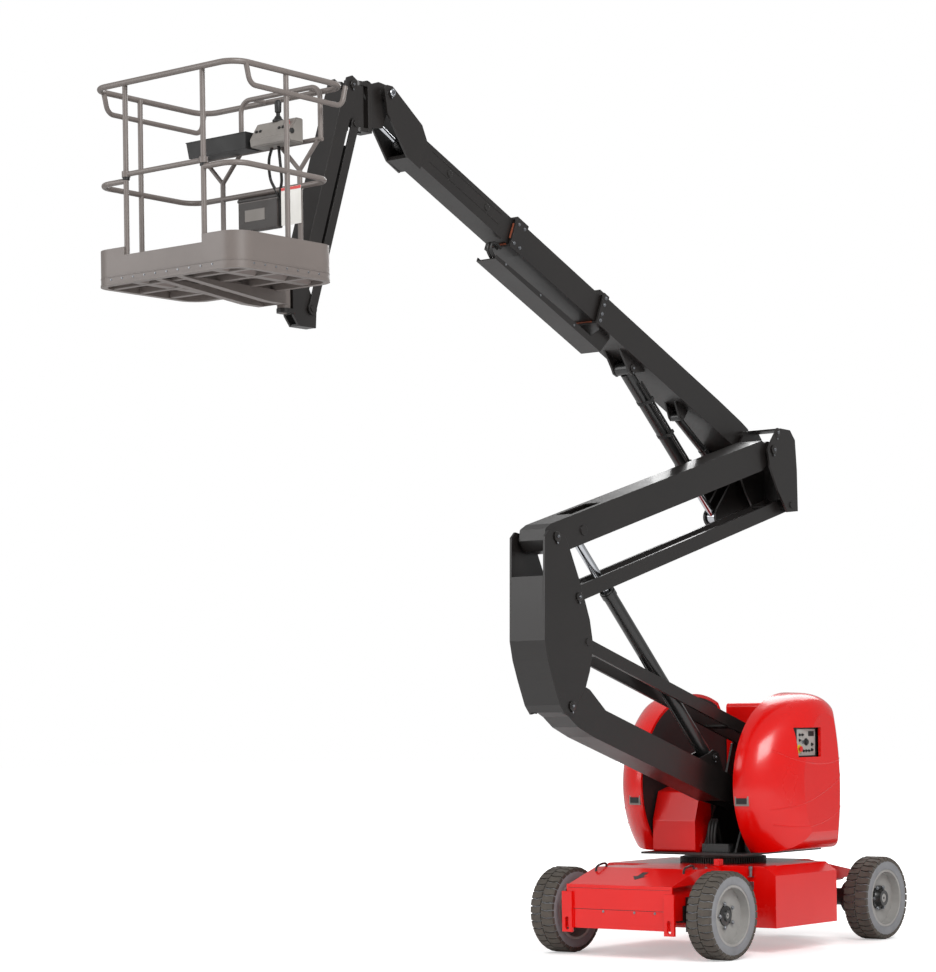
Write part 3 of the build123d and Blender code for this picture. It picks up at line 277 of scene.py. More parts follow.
# ---------------------------------------------------------------- making meshes
def finish_piece(piece: bpy.types.Object, finish: Finish, body: str, slot: str = "") -> bpy.types.Object:
    """Give a mesh its material and let it ride on a body.

    Args:
        piece: the mesh object, in place.
        finish: the finish of all its faces.
        body: the body that carries it.
        slot: the record's slot, where it isn't the one of its finish; not used.

    Returns:
        The same object.
    """
    piece.data.materials.clear()
    piece.data.materials.append(STOCK.get(finish))
    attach(piece, body)
    slot or finish.slot
    return piece


def new_object(name: str, shape: bmesh.types.BMesh, smooth_deg: float = 35.0) -> bpy.types.Object:
    """Make an object of a bmesh, with its faces outwards and its soft edges smooth.

    Args:
        name: the object's name.
        shape: the mesh, which is freed.
        smooth_deg: edges flatter than this are shaded smooth.

    Returns:
        The linked object.
    """
    bmesh.ops.remove_doubles(shape, verts=shape.verts, dist=1e-6)
    bmesh.ops.recalc_face_normals(shape, faces=shape.faces)
    mesh = bpy.data.meshes.new(name)
    for face in shape.faces:
        face.smooth = True
    for edge in shape.edges:
        if len(edge.link_faces) == 2 and edge.calc_face_angle(0.0) > math.radians(smooth_deg):
            edge.smooth = False
    shape.to_mesh(mesh)
    shape.free()
    piece = bpy.data.objects.new(name, mesh)
    bpy.context.collection.objects.link(piece)
    return piece


def basis(direction: Vector) -> Matrix:
    """A turning matrix whose local Z lies along a direction."""
    return direction.to_track_quat("Z", "Y").to_matrix().to_4x4()


def skin(shape: bmesh.types.BMesh, loops: Sequence[list[bmesh.types.BMVert]], closed: bool = False) -> None:
    """Join loops of corners, each to the next.

    Args:
        shape: the mesh that holds the corners.
        loops: equally long loops.
        closed: joins the last loop to the first, in place of a face at both ends.
    """
    following = [*loops[1:], loops[0]] if closed else loops[1:]
    for here, there in zip(loops, following):
        for i in range(len(here)):
            j = (i + 1) % len(here)
            shape.faces.new((here[i], here[j], there[j], there[i]))
    if not closed:
        shape.faces.new(loops[0][::-1])
        shape.faces.new(loops[-1])


def add_disc_stack(shape: bmesh.types.BMesh, centre: Vector, axis: Vector,
                   rings: Sequence[tuple[float, float]], sides: int) -> None:
    """Add a turned solid: rings of (distance along the axis, radius), closed at both ends.

    Args:
        shape: the mesh that gets the solid.
        centre: the point at distance 0.
        axis: the direction of the axis.
        rings: distances and radii in metres, from one end to the other.
        sides: the number of sides.
    """
    turn = Matrix.Translation(centre) @ basis(axis)
    way = [(math.cos(2 * math.pi * i / sides), math.sin(2 * math.pi * i / sides)) for i in range(sides)]
    skin(shape, [[shape.verts.new(turn @ Vector((radius * x, radius * y, along))) for x, y in way]
                 for along, radius in rings])


def add_slab(shape: bmesh.types.BMesh, outline: Sequence[Vector], thickness: Vector) -> None:
    """Add a flat plate: a closed outline pushed along a vector."""
    skin(shape, [[shape.verts.new(p) for p in outline], [shape.verts.new(p + thickness) for p in outline]])


def add_block(shape: bmesh.types.BMesh, low: Sequence[float], high: Sequence[float],
              turn: Matrix | None, edge: float) -> None:
    """Add a block between two corners, turned if asked, with its edges bevelled.

    Args:
        shape: the mesh that gets the block.
        low: its lowest corner.
        high: its highest corner.
        turn: a placing matrix for it, or None.
        edge: the width of the bevel.
    """
    part = bmesh.new()
    corners = ((low[0], low[1]), (high[0], low[1]), (high[0], high[1]), (low[0], high[1]))
    add_slab(part, [Vector((x, y, low[2])) for x, y in corners], UP * (high[2] - low[2]))
    bmesh.ops.bevel(part, geom=part.edges[:], offset=edge, segments=2, affect="EDGES")
    if turn is not None:
        bmesh.ops.transform(part, matrix=turn, verts=part.verts)
    spare = bpy.data.meshes.new("spare")
    part.to_mesh(spare)
    part.free()
    shape.from_mesh(spare)
    bpy.data.meshes.remove(spare)


def add_tube(shape: bmesh.types.BMesh, points: Sequence[Vector], radius: float, sides: int = 10) -> None:
    """Add a round tube along points, closed at both ends.

    Args:
        shape: the mesh that gets the tube.
        points: the line that it follows.
        radius: its outer radius.
        sides: the number of sides.
    """
    loops = []
    normal = None
    for i, point in enumerate(points):
        ahead = points[min(i + 1, len(points) - 1)] - points[max(i - 1, 0)]
        ahead.normalize()
        if normal is None:
            normal = ahead.orthogonal().normalized()
        normal = (normal - ahead * normal.dot(ahead)).normalized()
        other = ahead.cross(normal)
        loops.append([shape.verts.new(point + radius * (normal * math.cos(2 * math.pi * k / sides)
                                                        + other * math.sin(2 * math.pi * k / sides)))
                      for k in range(sides)])
    skin(shape, loops)


def smooth_line(points: Sequence[Vector], steps: int = 8) -> list[Vector]:
    """Points on a smooth line through the given ones.

    Args:
        points: the points that the line passes.
        steps: how many points each stretch gets.

    Returns:
        The points of a Catmull-Rom line.
    """
    ends = [points[0] * 2 - points[1], *points, points[-1] * 2 - points[-2]]
    line = []
    for a, b, c, d in zip(ends, ends[1:], ends[2:], ends[3:]):
        for k in range(steps):
            t = k / steps
            line.append(0.5 * ((2 * b) + (c - a) * t + (2 * a - 5 * b + 4 * c - d) * t * t
                               + (3 * b - a - 3 * c + d) * t ** 3))
    line.append(points[-1].copy())
    return line


# ---------------------------------------------------------------- the frame
class Machine:
    """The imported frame: its joints by name, the boom's directions and the finish of its nodes."""

    def __init__(self, frame: dict) -> None:
        """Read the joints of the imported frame.
        """
        self.nodes: dict[str, bpy.types.Object] = frame["nodes"]
        self.record: dict = frame["record"]
        self.joints = {joint["name"]: joint for joint in self.record["behaviour"]["joints"]}
        self.slots = {part["node"]: part["material_slot"] for part in self.record["subparts"]}
        self.slew_x = self.pin("slew").x
        self.boom_ahead = Vector(self.joints["telescope_mid"]["axis"])
        self.boom_up = Vector((-self.boom_ahead.z, 0.0, self.boom_ahead.x))

    def pin(self, joint: str) -> Vector:
        """The place of a hinge at rest."""
        return Vector(self.joints[joint]["pos_m"])

    def at(self, x: float, y: float, z: float) -> Vector:
        """A place given in millimetres from the slew axis, the middle and the floor."""
        return Vector((self.slew_x + x * MM, y * MM, z * MM))

    def outermost(self, pin: Vector, side: int) -> tuple[str, Vector] | None:
        """Find what lies outermost on one side of a pin.

        Args:
            pin: a point on the pin's axis.
            side: 1 for the left, -1 for the right.

        Returns:
            The body and the place, or None where nothing is found.
        """
        best = None
        start_y, widest_y = 1.5, 0.45
        for body, names in self.record["behaviour"]["bodies"].items():
            for name in names:
                if name not in self.nodes or (body == "turret" and name.startswith("cover")):
                    continue
                start = pin + ACROSS * (side * start_y - pin.y)
                hit, place, _, _ = self.nodes[name].ray_cast(start, ACROSS * -side)
                if hit and abs(place.y) < widest_y and (best is None or place.y * side > best[1].y * side):
                    best = (body, place)
        return best

    def dress_nodes(self) -> None:
        """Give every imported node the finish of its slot."""
        for name, piece in self.nodes.items():
            finish = SLOT_FINISH[self.slots[name]]
            if name.endswith("_barrel"):
                finish = BLACK_ENAMEL
            if name == "platform_console":
                finish = GREY_ABS
            piece.data.materials.clear()
            piece.data.materials.append(STOCK.get(finish))
            LOG.info("dressed %s", name)


# ---------------------------------------------------------------- wheels
@dataclass
class Tyre:
    """A solid grey tyre with a zigzag of lugs on its running band."""

    body: str
    node: str
    centre: Vector
    side: int
    radius: float = 0.300
    width: float = 0.190
    rim_radius: float = 0.2085
    lug_count: int = 35
    lug_height: float = 0.011
    sides: int = 72

    def carcass(self) -> bpy.types.Object:
        """Turn the tyre's body from its section.

        Returns:
            The tyre without its lugs.
        """
        half = self.width / 2
        base = self.radius - self.lug_height
        section = [(-half + 0.004, self.rim_radius), (-half, self.rim_radius + 0.008), (-half, base - 0.040),
                   (-half + 0.003, base - 0.020), (-half + 0.010, base - 0.006), (-half + 0.022, base),
                   (half - 0.022, base), (half - 0.010, base - 0.006), (half - 0.003, base - 0.020),
                   (half, base - 0.040), (half, self.rim_radius + 0.008), (half - 0.004, self.rim_radius)]
        shape = bmesh.new()
        loops = []
        for i in range(self.sides):
            turn = 2 * math.pi * i / self.sides
            loops.append([shape.verts.new(self.centre + Vector((r * math.cos(turn), y, r * math.sin(turn))))
                          for y, r in section])
        skin(shape, loops, closed=True)
        return new_object(f"{self.node}_carcass", shape, 40)

    def lug(self) -> bpy.types.Object:
        """One lug of the tread, at the top of the wheel, running from a shoulder to the middle.

        Returns:
            The lug as a helper object around the origin.
        """
        half = self.width / 2
        base = self.radius - self.lug_height - 0.003
        outline = [(-0.024, 0.0035), (0.020, 0.0035), (0.027, half * 0.45), (0.022, half - 0.020),
                   (0.022, half - 0.002), (-0.020, half - 0.002), (-0.020, half - 0.020),
                   (-0.015, half * 0.45)]
        shape = bmesh.new()
        low = [Vector((x, y, base if y < half - 0.01 else base - 0.022)) for x, y in outline]
        high = []
        for x, y in outline:
            drop = 0.010 if y > half - 0.01 else 0.0
            high.append(Vector((x, y, math.sqrt(self.radius ** 2 - x ** 2) - drop)))
        skin(shape, [[shape.verts.new(p) for p in line] for line in (low, high)])
        return new_object("lug", shape, 30)

    def build(self) -> None:
        """Make the carcass and the tread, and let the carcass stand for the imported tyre."""
        carcass = finish_piece(self.carcass(), GREY_RUBBER, self.body)
        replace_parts(carcass, self.node)
        tread = repeat_round(f"{self.node}_tread", self.lug(), "Y", self.lug_count, self.centre,
                             TREAD_RUBBER, both_halves=True)
        finish_piece(tread, TREAD_RUBBER, self.body)
        LOG.info("tyre %s", self.node)


def open_tree(name: str, geometry: str, number: str,
              kind: str) -> tuple[bpy.types.NodeTree, bpy.types.Node, str]:
    """Start a tree of geometry nodes that takes a geometry and a number.

    Args:
        name: what the tree is for.
        geometry: the name of the geometry input.
        number: the name of the number input.
        kind: the type of the number's socket.

    Returns:
        The tree, its input node and the identifier of the number.
    """
    tree = bpy.data.node_groups.new(f"{name}_tree", "GeometryNodeTree")
    tree.interface.new_socket(geometry, in_out="INPUT", socket_type="NodeSocketGeometry")
    number_in = tree.interface.new_socket(number, in_out="INPUT", socket_type=kind)
    tree.interface.new_socket("Geometry", in_out="OUTPUT", socket_type="NodeSocketGeometry")
    return tree, add_node(tree, "NodeGroupInput"), number_in.identifier


def close_tree(tree: bpy.types.NodeTree, geometry: bpy.types.NodeSocket, finish: Finish) -> None:
    """End a tree: set the material on its geometry and hand that out."""
    dress = add_node(tree, "GeometryNodeSetMaterial", {"Geometry": geometry, "Material": STOCK.get(finish)})
    add_node(tree, "NodeGroupOutput", {0: dress.outputs[0]})


def run_tree(name: str, tree: bpy.types.NodeTree, values: dict[str, object],
             start: bpy.types.Mesh | None = None) -> bpy.types.Object:
    """Run a tree of geometry nodes and keep its result as a plain mesh.

    Args:
        name: the new object's name.
        tree: the tree.
        values: input identifier to value.
        start: the mesh that the tree works on, where it takes one.

    Returns:
        An object that holds the evaluated mesh and no modifier.
    """
    holder = bpy.data.objects.new(f"{name}_holder", start or bpy.data.meshes.new(f"{name}_holder"))
    bpy.context.collection.objects.link(holder)
    modifier = holder.modifiers.new("nodes", "NODES")
    modifier.node_group = tree
    for key, value in values.items():
        modifier[key] = value
    seen = holder.evaluated_get(bpy.context.evaluated_depsgraph_get())
    mesh = bpy.data.meshes.new_from_object(seen)
    mesh.name = name
    holder.modifiers.clear()
    bpy.data.objects.remove(holder)
    piece = bpy.data.objects.new(name, mesh)
    bpy.context.collection.objects.link(piece)
    return piece


def repeat_round(name: str, part: bpy.types.Object, axis: str, count: int, centre: Vector, finish: Finish,
                 both_halves: bool = False) -> bpy.types.Object:
    """Repeat a helper object round an axis with a tree of geometry nodes.

    Args:
        name: the new object's name.
        part: the helper, drawn round the origin, which is removed afterwards.
        axis: the letter of the axis that it is turned about.
        count: how many there are in a full turn.
        centre: where the axis stands.
        finish: the finish of the whole.
        both_halves: adds a second row, mirrored across Y and half a step on.

    Returns:
        The whole as one plain mesh.
    """
    tree, given, count_in = open_tree(name, "Geometry", "Part count", "NodeSocketInt")
    count_out = given.outputs["Part count"]
    info = add_node(tree, "GeometryNodeObjectInfo", {"Object": part}, transform_space="ORIGINAL")
    line = add_node(tree, "GeometryNodeMeshLine", {"Count": count_out, "Offset": (0.0, 0.0, 0.0)})
    index = add_node(tree, "GeometryNodeInputIndex")
    step = add_node(tree, "ShaderNodeMath", {0: 2 * math.pi, 1: count_out}, operation="DIVIDE")
    join = add_node(tree, "GeometryNodeJoinGeometry")
    for mirrored in (False, True)[:1 + both_halves]:
        number = add_node(tree, "ShaderNodeMath", {0: index.outputs[0], 1: 0.5 * mirrored}, operation="ADD")
        angle = add_node(tree, "ShaderNodeMath", {0: number.outputs[0], 1: step.outputs[0]},
                         operation="MULTIPLY")
        turn = add_node(tree, "ShaderNodeCombineXYZ", {axis: angle.outputs[0]})
        spun = add_node(tree, "GeometryNodeInstanceOnPoints",
                        {"Points": line.outputs[0], "Instance": info.outputs["Geometry"],
                         "Rotation": turn.outputs[0], "Scale": (1.0, -1.0 if mirrored else 1.0, 1.0)})
        row = add_node(tree, "GeometryNodeRealizeInstances", {0: spun.outputs[0]})
        if mirrored:
            row = add_node(tree, "GeometryNodeFlipFaces", {0: row.outputs[0]})
        tree.links.new(row.outputs[0], join.inputs[0])
    place = add_node(tree, "GeometryNodeTransform", {"Geometry": join.outputs[0], "Translation": centre})
    close_tree(tree, place.outputs[0], finish)
    whole = run_tree(name, tree, {count_in: count})
    bpy.data.objects.remove(part)
    return whole


# ---------------------------------------------------------------- pieces of trim
class Piece:
    """A mesh in the making, with the finish and body that it will have, and a slot that it is given."""

    def __init__(self, name: str, finish: Finish, body: str, slot: str = "") -> None:
        """Start an empty piece."""
        self.name = name
        self.finish = finish
        self.body = body
        self.slot = slot
        self.shape = bmesh.new()

    def block(self, low: Sequence[float], high: Sequence[float], edge: float,
              turn: Matrix | None = None) -> None:
        """Add a block with bevelled edges."""
        add_block(self.shape, low, high, turn, edge)

    def tube(self, points: Sequence[Vector], radius: float) -> None:
        """Add a tube that follows a smooth line through points."""
        add_tube(self.shape, smooth_line(points), radius)

    def rod(self, start: Vector, end: Vector, radius: float, sides: int = 14) -> None:
        """Add a straight round bar with bevelled ends."""
        length = (end - start).length
        edge = min(0.15 * radius, 0.2 * length)
        rings = [(0.0, radius - edge), (edge, radius), (length - edge, radius), (length, radius - edge)]
        add_disc_stack(self.shape, start, end - start, rings, sides)

    def turned(self, centre: Vector, axis: Vector, rings: Sequence[tuple[float, float]],
               sides: int = 28) -> None:
        """Add a turned solid."""
        add_disc_stack(self.shape, centre, axis, rings, sides)

    def plate(self, outline: Sequence[Vector], thickness: Vector) -> None:
        """Add a flat plate."""
        add_slab(self.shape, outline, thickness)

    def build(self, smooth_deg: float = 35.0) -> bpy.types.Object:
        """Finish the mesh and let it ride on its body.

        Args:
            smooth_deg: edges flatter than this are shaded smooth.

        Returns:
            The finished object.
        """
        LOG.info("piece %s", self.name)
        return finish_piece(new_object(self.name, self.shape, smooth_deg), self.finish, self.body, self.slot)


def make_blocks(name: str, finish: Finish, body: str, place: Placer, table: Sequence[BlockRow],
                slot: str = "") -> bpy.types.Object:
    """Make one piece of bevelled blocks.

    Args:
        name: the piece's name.
        finish: the finish of all of it.
        body: the body that carries it.
        place: the function that turns three numbers into a point.
        table: two corners and the width of the bevel for each block.
        slot: the record's slot, where it isn't the one of its finish.

    Returns:
        The finished piece.
    """
    piece = Piece(name, finish, body, slot)
    for low, high, edge in table:
        piece.block(place(*low), place(*high), edge)
    return piece.build()


@dataclass
class Bolts:
    """Zinc-plated hexagon bolts with washers, set on one body by a tree of geometry nodes.

    Each spot is a point on the surface, the way the bolt looks, and the radius of its head.
    """

    name: str
    body: str
    spots: Sequence[tuple[Vector, Vector, float]]

    def head(self) -> bpy.types.Object:
        """One bolt of radius 1 along Z, standing at the origin."""
        shape = bmesh.new()
        add_disc_stack(shape, Vector((0, 0, -0.1)), UP, [(0, 1.35), (0.28, 1.35), (0.34, 1.28)], 16)
        add_disc_stack(shape, Vector((0, 0, 0.15)), UP, [(0, 1.0), (0.62, 1.0), (0.75, 0.86)], 6)
        return new_object("bolt_head", shape, 30)

    def build(self) -> bpy.types.Object:
        """Set a bolt on every spot.

        Returns:
            All bolts as one plain mesh.
        """
        head = self.head()
        cloud = bpy.data.meshes.new(f"{self.name}_spots")
        cloud.from_pydata([tuple(spot[0]) for spot in self.spots], [], [])
        cloud.attributes.new("turn", "FLOAT_VECTOR", "POINT")
        cloud.attributes.new("size", "FLOAT", "POINT")
        turns, sizes = cloud.attributes["turn"], cloud.attributes["size"]
        for i, (_, way, radius) in enumerate(self.spots):
            turns.data[i].vector = way.to_track_quat("Z", "Y").to_euler()
            sizes.data[i].value = radius
        tree, given, scale_in = open_tree(self.name, "Spots", "Head scale", "NodeSocketFloat")
        info = add_node(tree, "GeometryNodeObjectInfo", {"Object": head}, transform_space="ORIGINAL")
        turn_in = add_node(tree, "GeometryNodeInputNamedAttribute", {"Name": "turn"},
                           data_type="FLOAT_VECTOR")
        size_in = add_node(tree, "GeometryNodeInputNamedAttribute", {"Name": "size"}, data_type="FLOAT")
        scaled = add_node(tree, "ShaderNodeMath", {0: size_in.outputs[0], 1: given.outputs["Head scale"]},
                          operation="MULTIPLY")
        placed = add_node(tree, "GeometryNodeInstanceOnPoints",
                          {"Points": given.outputs[0], "Instance": info.outputs["Geometry"],
                           "Rotation": turn_in.outputs[0], "Scale": scaled.outputs[0]})
        real = add_node(tree, "GeometryNodeRealizeInstances", {0: placed.outputs[0]})
        close_tree(tree, real.outputs[0], ZINC_STEEL)
        piece = run_tree(self.name, tree, {scale_in: 1.0}, cloud)
        bpy.data.objects.remove(head)
        return finish_piece(piece, ZINC_STEEL, self.body)


@dataclass
class PinHeads:
    """The heads and keepers of the pins that show on one side of a body."""

    body: str
    side: int
    pins: Sequence[tuple[Vector, float]]

    def build(self) -> None:
        """Make a collar and a keeper plate for each pin, and the bolts that hold them."""
        name = f"{self.body}_{'left' if self.side > 0 else 'right'}"
        out = ACROSS * self.side
        plates = Piece(f"{name}_pin_heads", DARK_ENAMEL, self.body)
        spots = []
        for end, radius in self.pins:
            plates.turned(end - out * 0.003, out,
                          [(0, radius * 1.35), (0.005, radius * 1.35), (0.0065, radius * 1.25)])
            lows, highs = sorted((end.y - self.side * 0.003, end.y + self.side * 0.0015))
            plates.block((end.x - radius * 0.35, lows, end.z - radius * 2.0),
                         (end.x + radius * 0.35, highs, end.z - radius * 0.8), 0.0005)
            spots += [(end + out * 0.0062, out, radius * 0.36),
                      (end + out * 0.0014 - UP * radius * 1.7, out, radius * 0.22)]
        plates.build()
        Bolts(f"{name}_pin_bolts", self.body, spots).build()


# ---------------------------------------------------------------- wheels, chassis and slewing ring
@dataclass
class WheelTrim:
    """The black hub and the wheel nuts."""

    machine: Machine
    body: str
    side: int
    rear: bool
    disc_y: float = 0.676
    nut_circle: float = 0.084

    def build(self) -> None:
        """Make the hub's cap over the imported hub, and its nuts."""
        out = ACROSS * self.side
        centre = self.machine.pin(self.body)
        centre.y = self.side * self.disc_y
        radius, reach = (0.060, 0.052) if self.rear else (0.038, 0.028)
        cap = Piece(f"{self.body}_hub", BLACK_ENAMEL, self.body)
        cap.turned(centre, out,
                   [(0.0, radius + 0.030), (0.012, radius + 0.030), (0.014, radius + 0.012),
                    (reach * 0.6, radius + 0.002), (reach, radius - 0.004), (reach, radius * 0.55),
                    (reach - 0.008, radius * 0.5), (reach - 0.008, radius * 0.2),
                    (reach - 0.002, radius * 0.15)])
        cap.build()
        count = 6 if self.rear else 5
        spots = []
        for i in range(count):
            turn = 2 * math.pi * i / count
            away = Vector((math.cos(turn), 0, math.sin(turn)))
            spots.append((centre + out * 0.018 + away * self.nut_circle, out, 0.011))
        Bolts(f"{self.body}_nuts", self.body, spots).build()


@dataclass
class ChassisTrim:
    """Handles, marks and small fittings of the chassis."""

    machine: Machine
    handle_y: float = 368

    def handles(self) -> None:
        """Bend the two black lifting handles of the bonnet."""
        handle = Piece("bonnet_handles", BLACK_ENAMEL, "chassis")
        for side in (1, -1):
            y = side * self.handle_y
            line = [(1030, 571), (1028, 596), (1008, 612), (965, 622), (930, 624), (912, 618), (908, 598)]
            handle.tube([self.machine.at(x, y, z) for x, z in line], 0.008)
        handle.build()

    def arrow(self) -> None:
        """Lay the black arrow on the bonnet's slope, pointing forwards."""
        mark = Piece("bonnet_arrow", BLACK_ABS, "chassis", "dark_paint")
        ahead = Vector((312, 0, -100)).normalized()
        lift = Vector((-ahead.z, 0, ahead.x)) * 0.0012
        centre = self.machine.at(1090, 52, 555.2)
        points = [(74, 0), (8, 56), (8, 24), (-66, 24), (-66, -24), (8, -24), (8, -56)]
        mark.plate([centre + ahead * a * MM + ACROSS * b * MM for a, b in points], lift)
        mark.build()

    def front(self) -> None:
        """Add the seams of the front plate, the bolts, the side fittings and the wheel guards."""
        at = self.machine.at
        make_blocks("front_seam", DARK_ENAMEL, "chassis", at,
                    (((1277, -438, 330), (1278.8, 438, 333), 0.0004),
                     ((1277, -430, 474), (1278.6, 430, 476), 0.0004)))
        spots = [(at(1278, y, 318), AHEAD, 0.007) for y in (-400, -130, 130, 300, 405)]
        spots += [(at(x, 368, 600), UP, 0.008) for x in (760, 880)]
        Bolts("chassis_bolts", "chassis", spots).build()
        make_blocks("deck_post", RED_POWDER_COAT, "chassis", at,
                    (((430, 240, 599), (480, 290, 645), 0.004), ((300, 310, 599), (478, 640, 603), 0.0015)))
        latch = Piece("side_box_latch", ZINC_STEEL, "chassis")
        latch.turned(at(500, 560, 530), UP,
                     [(0, 0.012), (0.05, 0.012), (0.052, 0.016), (0.07, 0.016), (0.073, 0.013)])
        latch.block(at(479, 545, 528), at(515, 575, 534), 0.001)
        latch.block(at(479, 500, 440), at(482, 572, 496), 0.0008)
        latch.build()
        guard = Piece("wheel_guards", RED_POWDER_COAT, "chassis")
        for side in (1, -1):
            low, high = sorted((side * 392, side * 398))
            line = [(1262, 480), (1262, 240), (1225, 205), (1240, 330), (1232, 400), (1200, 480)]
            guard.plate([at(x, low, z) for x, z in line], ACROSS * (high - low) * MM)
        guard.build()

    def build(self) -> None:
        """Make all of it."""
        self.handles()
        self.arrow()
        self.front()


@dataclass
class SlewTeeth:
    """The ring of gear teeth below the turret."""

    machine: Machine
    tooth_count: int = 104
    radius: float = 0.2945
    height: float = 0.036
    low_mm: float = 602

    def tooth(self) -> bpy.types.Object:
        """One tooth at the ring's +X side, around the slew axis."""
        shape = bmesh.new()
        outline = ((0, -0.0062), (0.012, -0.0030), (0.012, 0.0030), (0, 0.0062))
        add_slab(shape, [Vector((self.radius + x, y, 0)) for x, y in outline], UP * self.height)
        return new_object("tooth", shape, 20)

    def build(self) -> None:
        """Repeat the tooth round the ring."""
        foot = self.machine.at(0, 0, self.low_mm)
        ring = repeat_round("slew_teeth", self.tooth(), "Z", self.tooth_count, foot, OILED_STEEL)
        finish_piece(ring, OILED_STEEL, "chassis")


# ---------------------------------------------------------------- turret
@dataclass
class TurretTrim:
    """Latches, black panels of painted shade inside the covers, creases and the ground controls of the
    turret.
    """

    machine: Machine
    # Distance from the middle, in millimetres, of the black sheets of painted shade inside the covers
    shade_panel_y: float = 391
    crease_radius: float = 0.006
    crease_sink: float = 0.0035
    panel_y: float = 700.0

    def on_cover(self, node: str, x: float, z: float) -> Vector:
        """The point of a cover's outer face at a place in the side view, in millimetres."""
        side = 1 if node == "cover_left" else -1
        start = self.machine.at(x, side * 1200, z)
        hit, place, _, _ = self.machine.nodes[node].ray_cast(start, ACROSS * -side)
        return place if hit else self.machine.at(x, side * 640, z)

    def front_of_cover(self, node: str, y: float, z: float) -> Vector:
        """The frontmost point of a cover at a distance from the middle and a height, in millimetres."""
        hit, place, _, _ = self.machine.nodes[node].ray_cast(self.machine.at(1500, y, z), -AHEAD)
        return place if hit else self.machine.at(430, y, z)

    def shade_panels(self) -> None:
        """Close the inside of both covers with black panels: painted shade that stands for the covers' shaded
        insides.
        """
        outline = [(228, 684), (330, 800), (405, 960), (436, 1130), (424, 1300), (360, 1470), (250, 1600),
                   (120, 1688), (-60, 1752), (-215, 1782), (-380, 1768), (-530, 1722), (-620, 1600),
                   (-690, 1420), (-718, 1240), (-705, 1000), (-640, 684)]
        for side, name in ((1, "left"), (-1, "right")):
            shade_panel = Piece(f"cover_liner_{name}", BLACK_ABS, "turret")
            inner = [self.machine.at(x, side * self.shade_panel_y, z) for x, z in outline]
            shade_panel.plate(inner, ACROSS * side * 0.004)
            shade_panel.build()

    def latches(self) -> None:
        """Set the grey pull latch on the front edge of both covers."""
        for side, name in ((1, "left"), (-1, "right")):
            latch = Piece(f"cover_latch_{name}", GREY_ABS, "turret", "grey_metal")
            inner = Piece(f"cover_latch_pull_{name}", BLACK_ABS, "turret")
            ends = [self.front_of_cover(f"cover_{name}", side * y, 1048) for y in (402, 505)]
            along = (ends[1] - ends[0]).normalized()
            out = UP.cross(along).normalized()
            if out.x < 0:
                out = -out
            for z_low, z_high, depth, piece, trim in ((-0.034, 0.034, 0.006, latch, 0.0),
                                                      (-0.020, 0.020, 0.012, inner, 0.014)):
                start, end = ends[0] + along * trim, ends[1] - along * trim
                piece.plate([start + UP * z_low - out * 0.012, end + UP * z_low - out * 0.012,
                             end + UP * z_low + out * depth, start + UP * z_low + out * depth],
                            UP * (z_high - z_low))
            latch.build()
            inner.build()

    def creases(self) -> None:
        """Run the soft creases over both covers."""
        lines = (((300, 1395), (150, 1330), (-50, 1300), (-250, 1300), (-430, 1330)),
                 ((330, 985), (150, 1010), (-60, 1060), (-260, 1130), (-440, 1220)),
                 ((290, 880), (120, 860), (-80, 870), (-280, 920), (-420, 990)))
        for node in ("cover_left", "cover_right"):
            crease = Piece(f"{node}_creases", RED_POWDER_COAT, "turret")
            sink = ACROSS * (1 if node == "cover_left" else -1) * self.crease_sink
            for line in lines:
                flat = smooth_line([Vector((x, 0, z)) for x, z in line], 6)
                points = [self.on_cover(node, p.x, p.z) - sink for p in flat]
                add_tube(crease.shape, points, self.crease_radius, 8)
            crease.build(60)

    def controls(self) -> None:
        """Fill the ground control panel: stop button, key, dial and switches."""
        at, face_y = self.machine.at, self.panel_y
        rim = [((-139, 1346), (-130, 1549)), ((115, 1346), (124, 1549)), ((-130, 1346), (115, 1354)),
               ((-130, 1541), (115, 1549))]
        frame = [((x, face_y - 3, z), (to_x, face_y + 6, to_z), 0.0015) for (x, z), (to_x, to_z) in rim]
        frame.append(((-112, face_y - 2, 1490), (-40, face_y + 3, 1524), 0.001))
        make_blocks("ground_panel_rim", BLACK_ABS, "turret", at, frame)
        make_blocks("ground_panel_plate", LIGHT_ABS, "turret", at,
                    [((-130, face_y - 3, 1354), (115, face_y + 0.5, 1541), 0.001)])
        discs = (("stop_button_plate", YELLOW_VINYL, -1, [(0, 0.030), (0.003, 0.030), (0.004, 0.028)]),
                 ("stop_button", SIGNAL_RED, 2,
                  [(0, 0.010), (0.008, 0.010), (0.010, 0.019), (0.017, 0.020), (0.021, 0.014)]))
        for name, finish, out, rings in discs:
            disc = Piece(name, finish, "turret")
            disc.turned(at(78, face_y + out, 1402), ACROSS, rings)
            disc.build()
        knobs = Piece("ground_switches", BLACK_ABS, "turret")
        small = (0.010, 0.014)
        for x, z, (radius, reach) in ((-10, 1450, (0.026, 0.016)), (-84, 1432, (0.012, 0.014)),
                                      (-84, 1394, (0.012, 0.014)), (38, 1500, small), (74, 1500, small),
                                      (74, 1462, small), (-46, 1388, small), (-10, 1388, small),
                                      (26, 1388, small)):
            knobs.turned(at(x, face_y - 1, z), ACROSS,
                         [(0, radius), (reach * 0.3, radius), (reach * 0.35, radius * 0.7),
                          (reach, radius * 0.62)])
        knobs.build()
        key = Piece("key_switch", ZINC_STEEL, "turret")
        key.turned(at(36, face_y - 1, 1450), ACROSS, [(0, 0.012), (0.006, 0.012), (0.008, 0.009)])
        key.block(at(34, face_y + 5, 1438), at(38, face_y + 14, 1462), 0.0008)
        key.build()

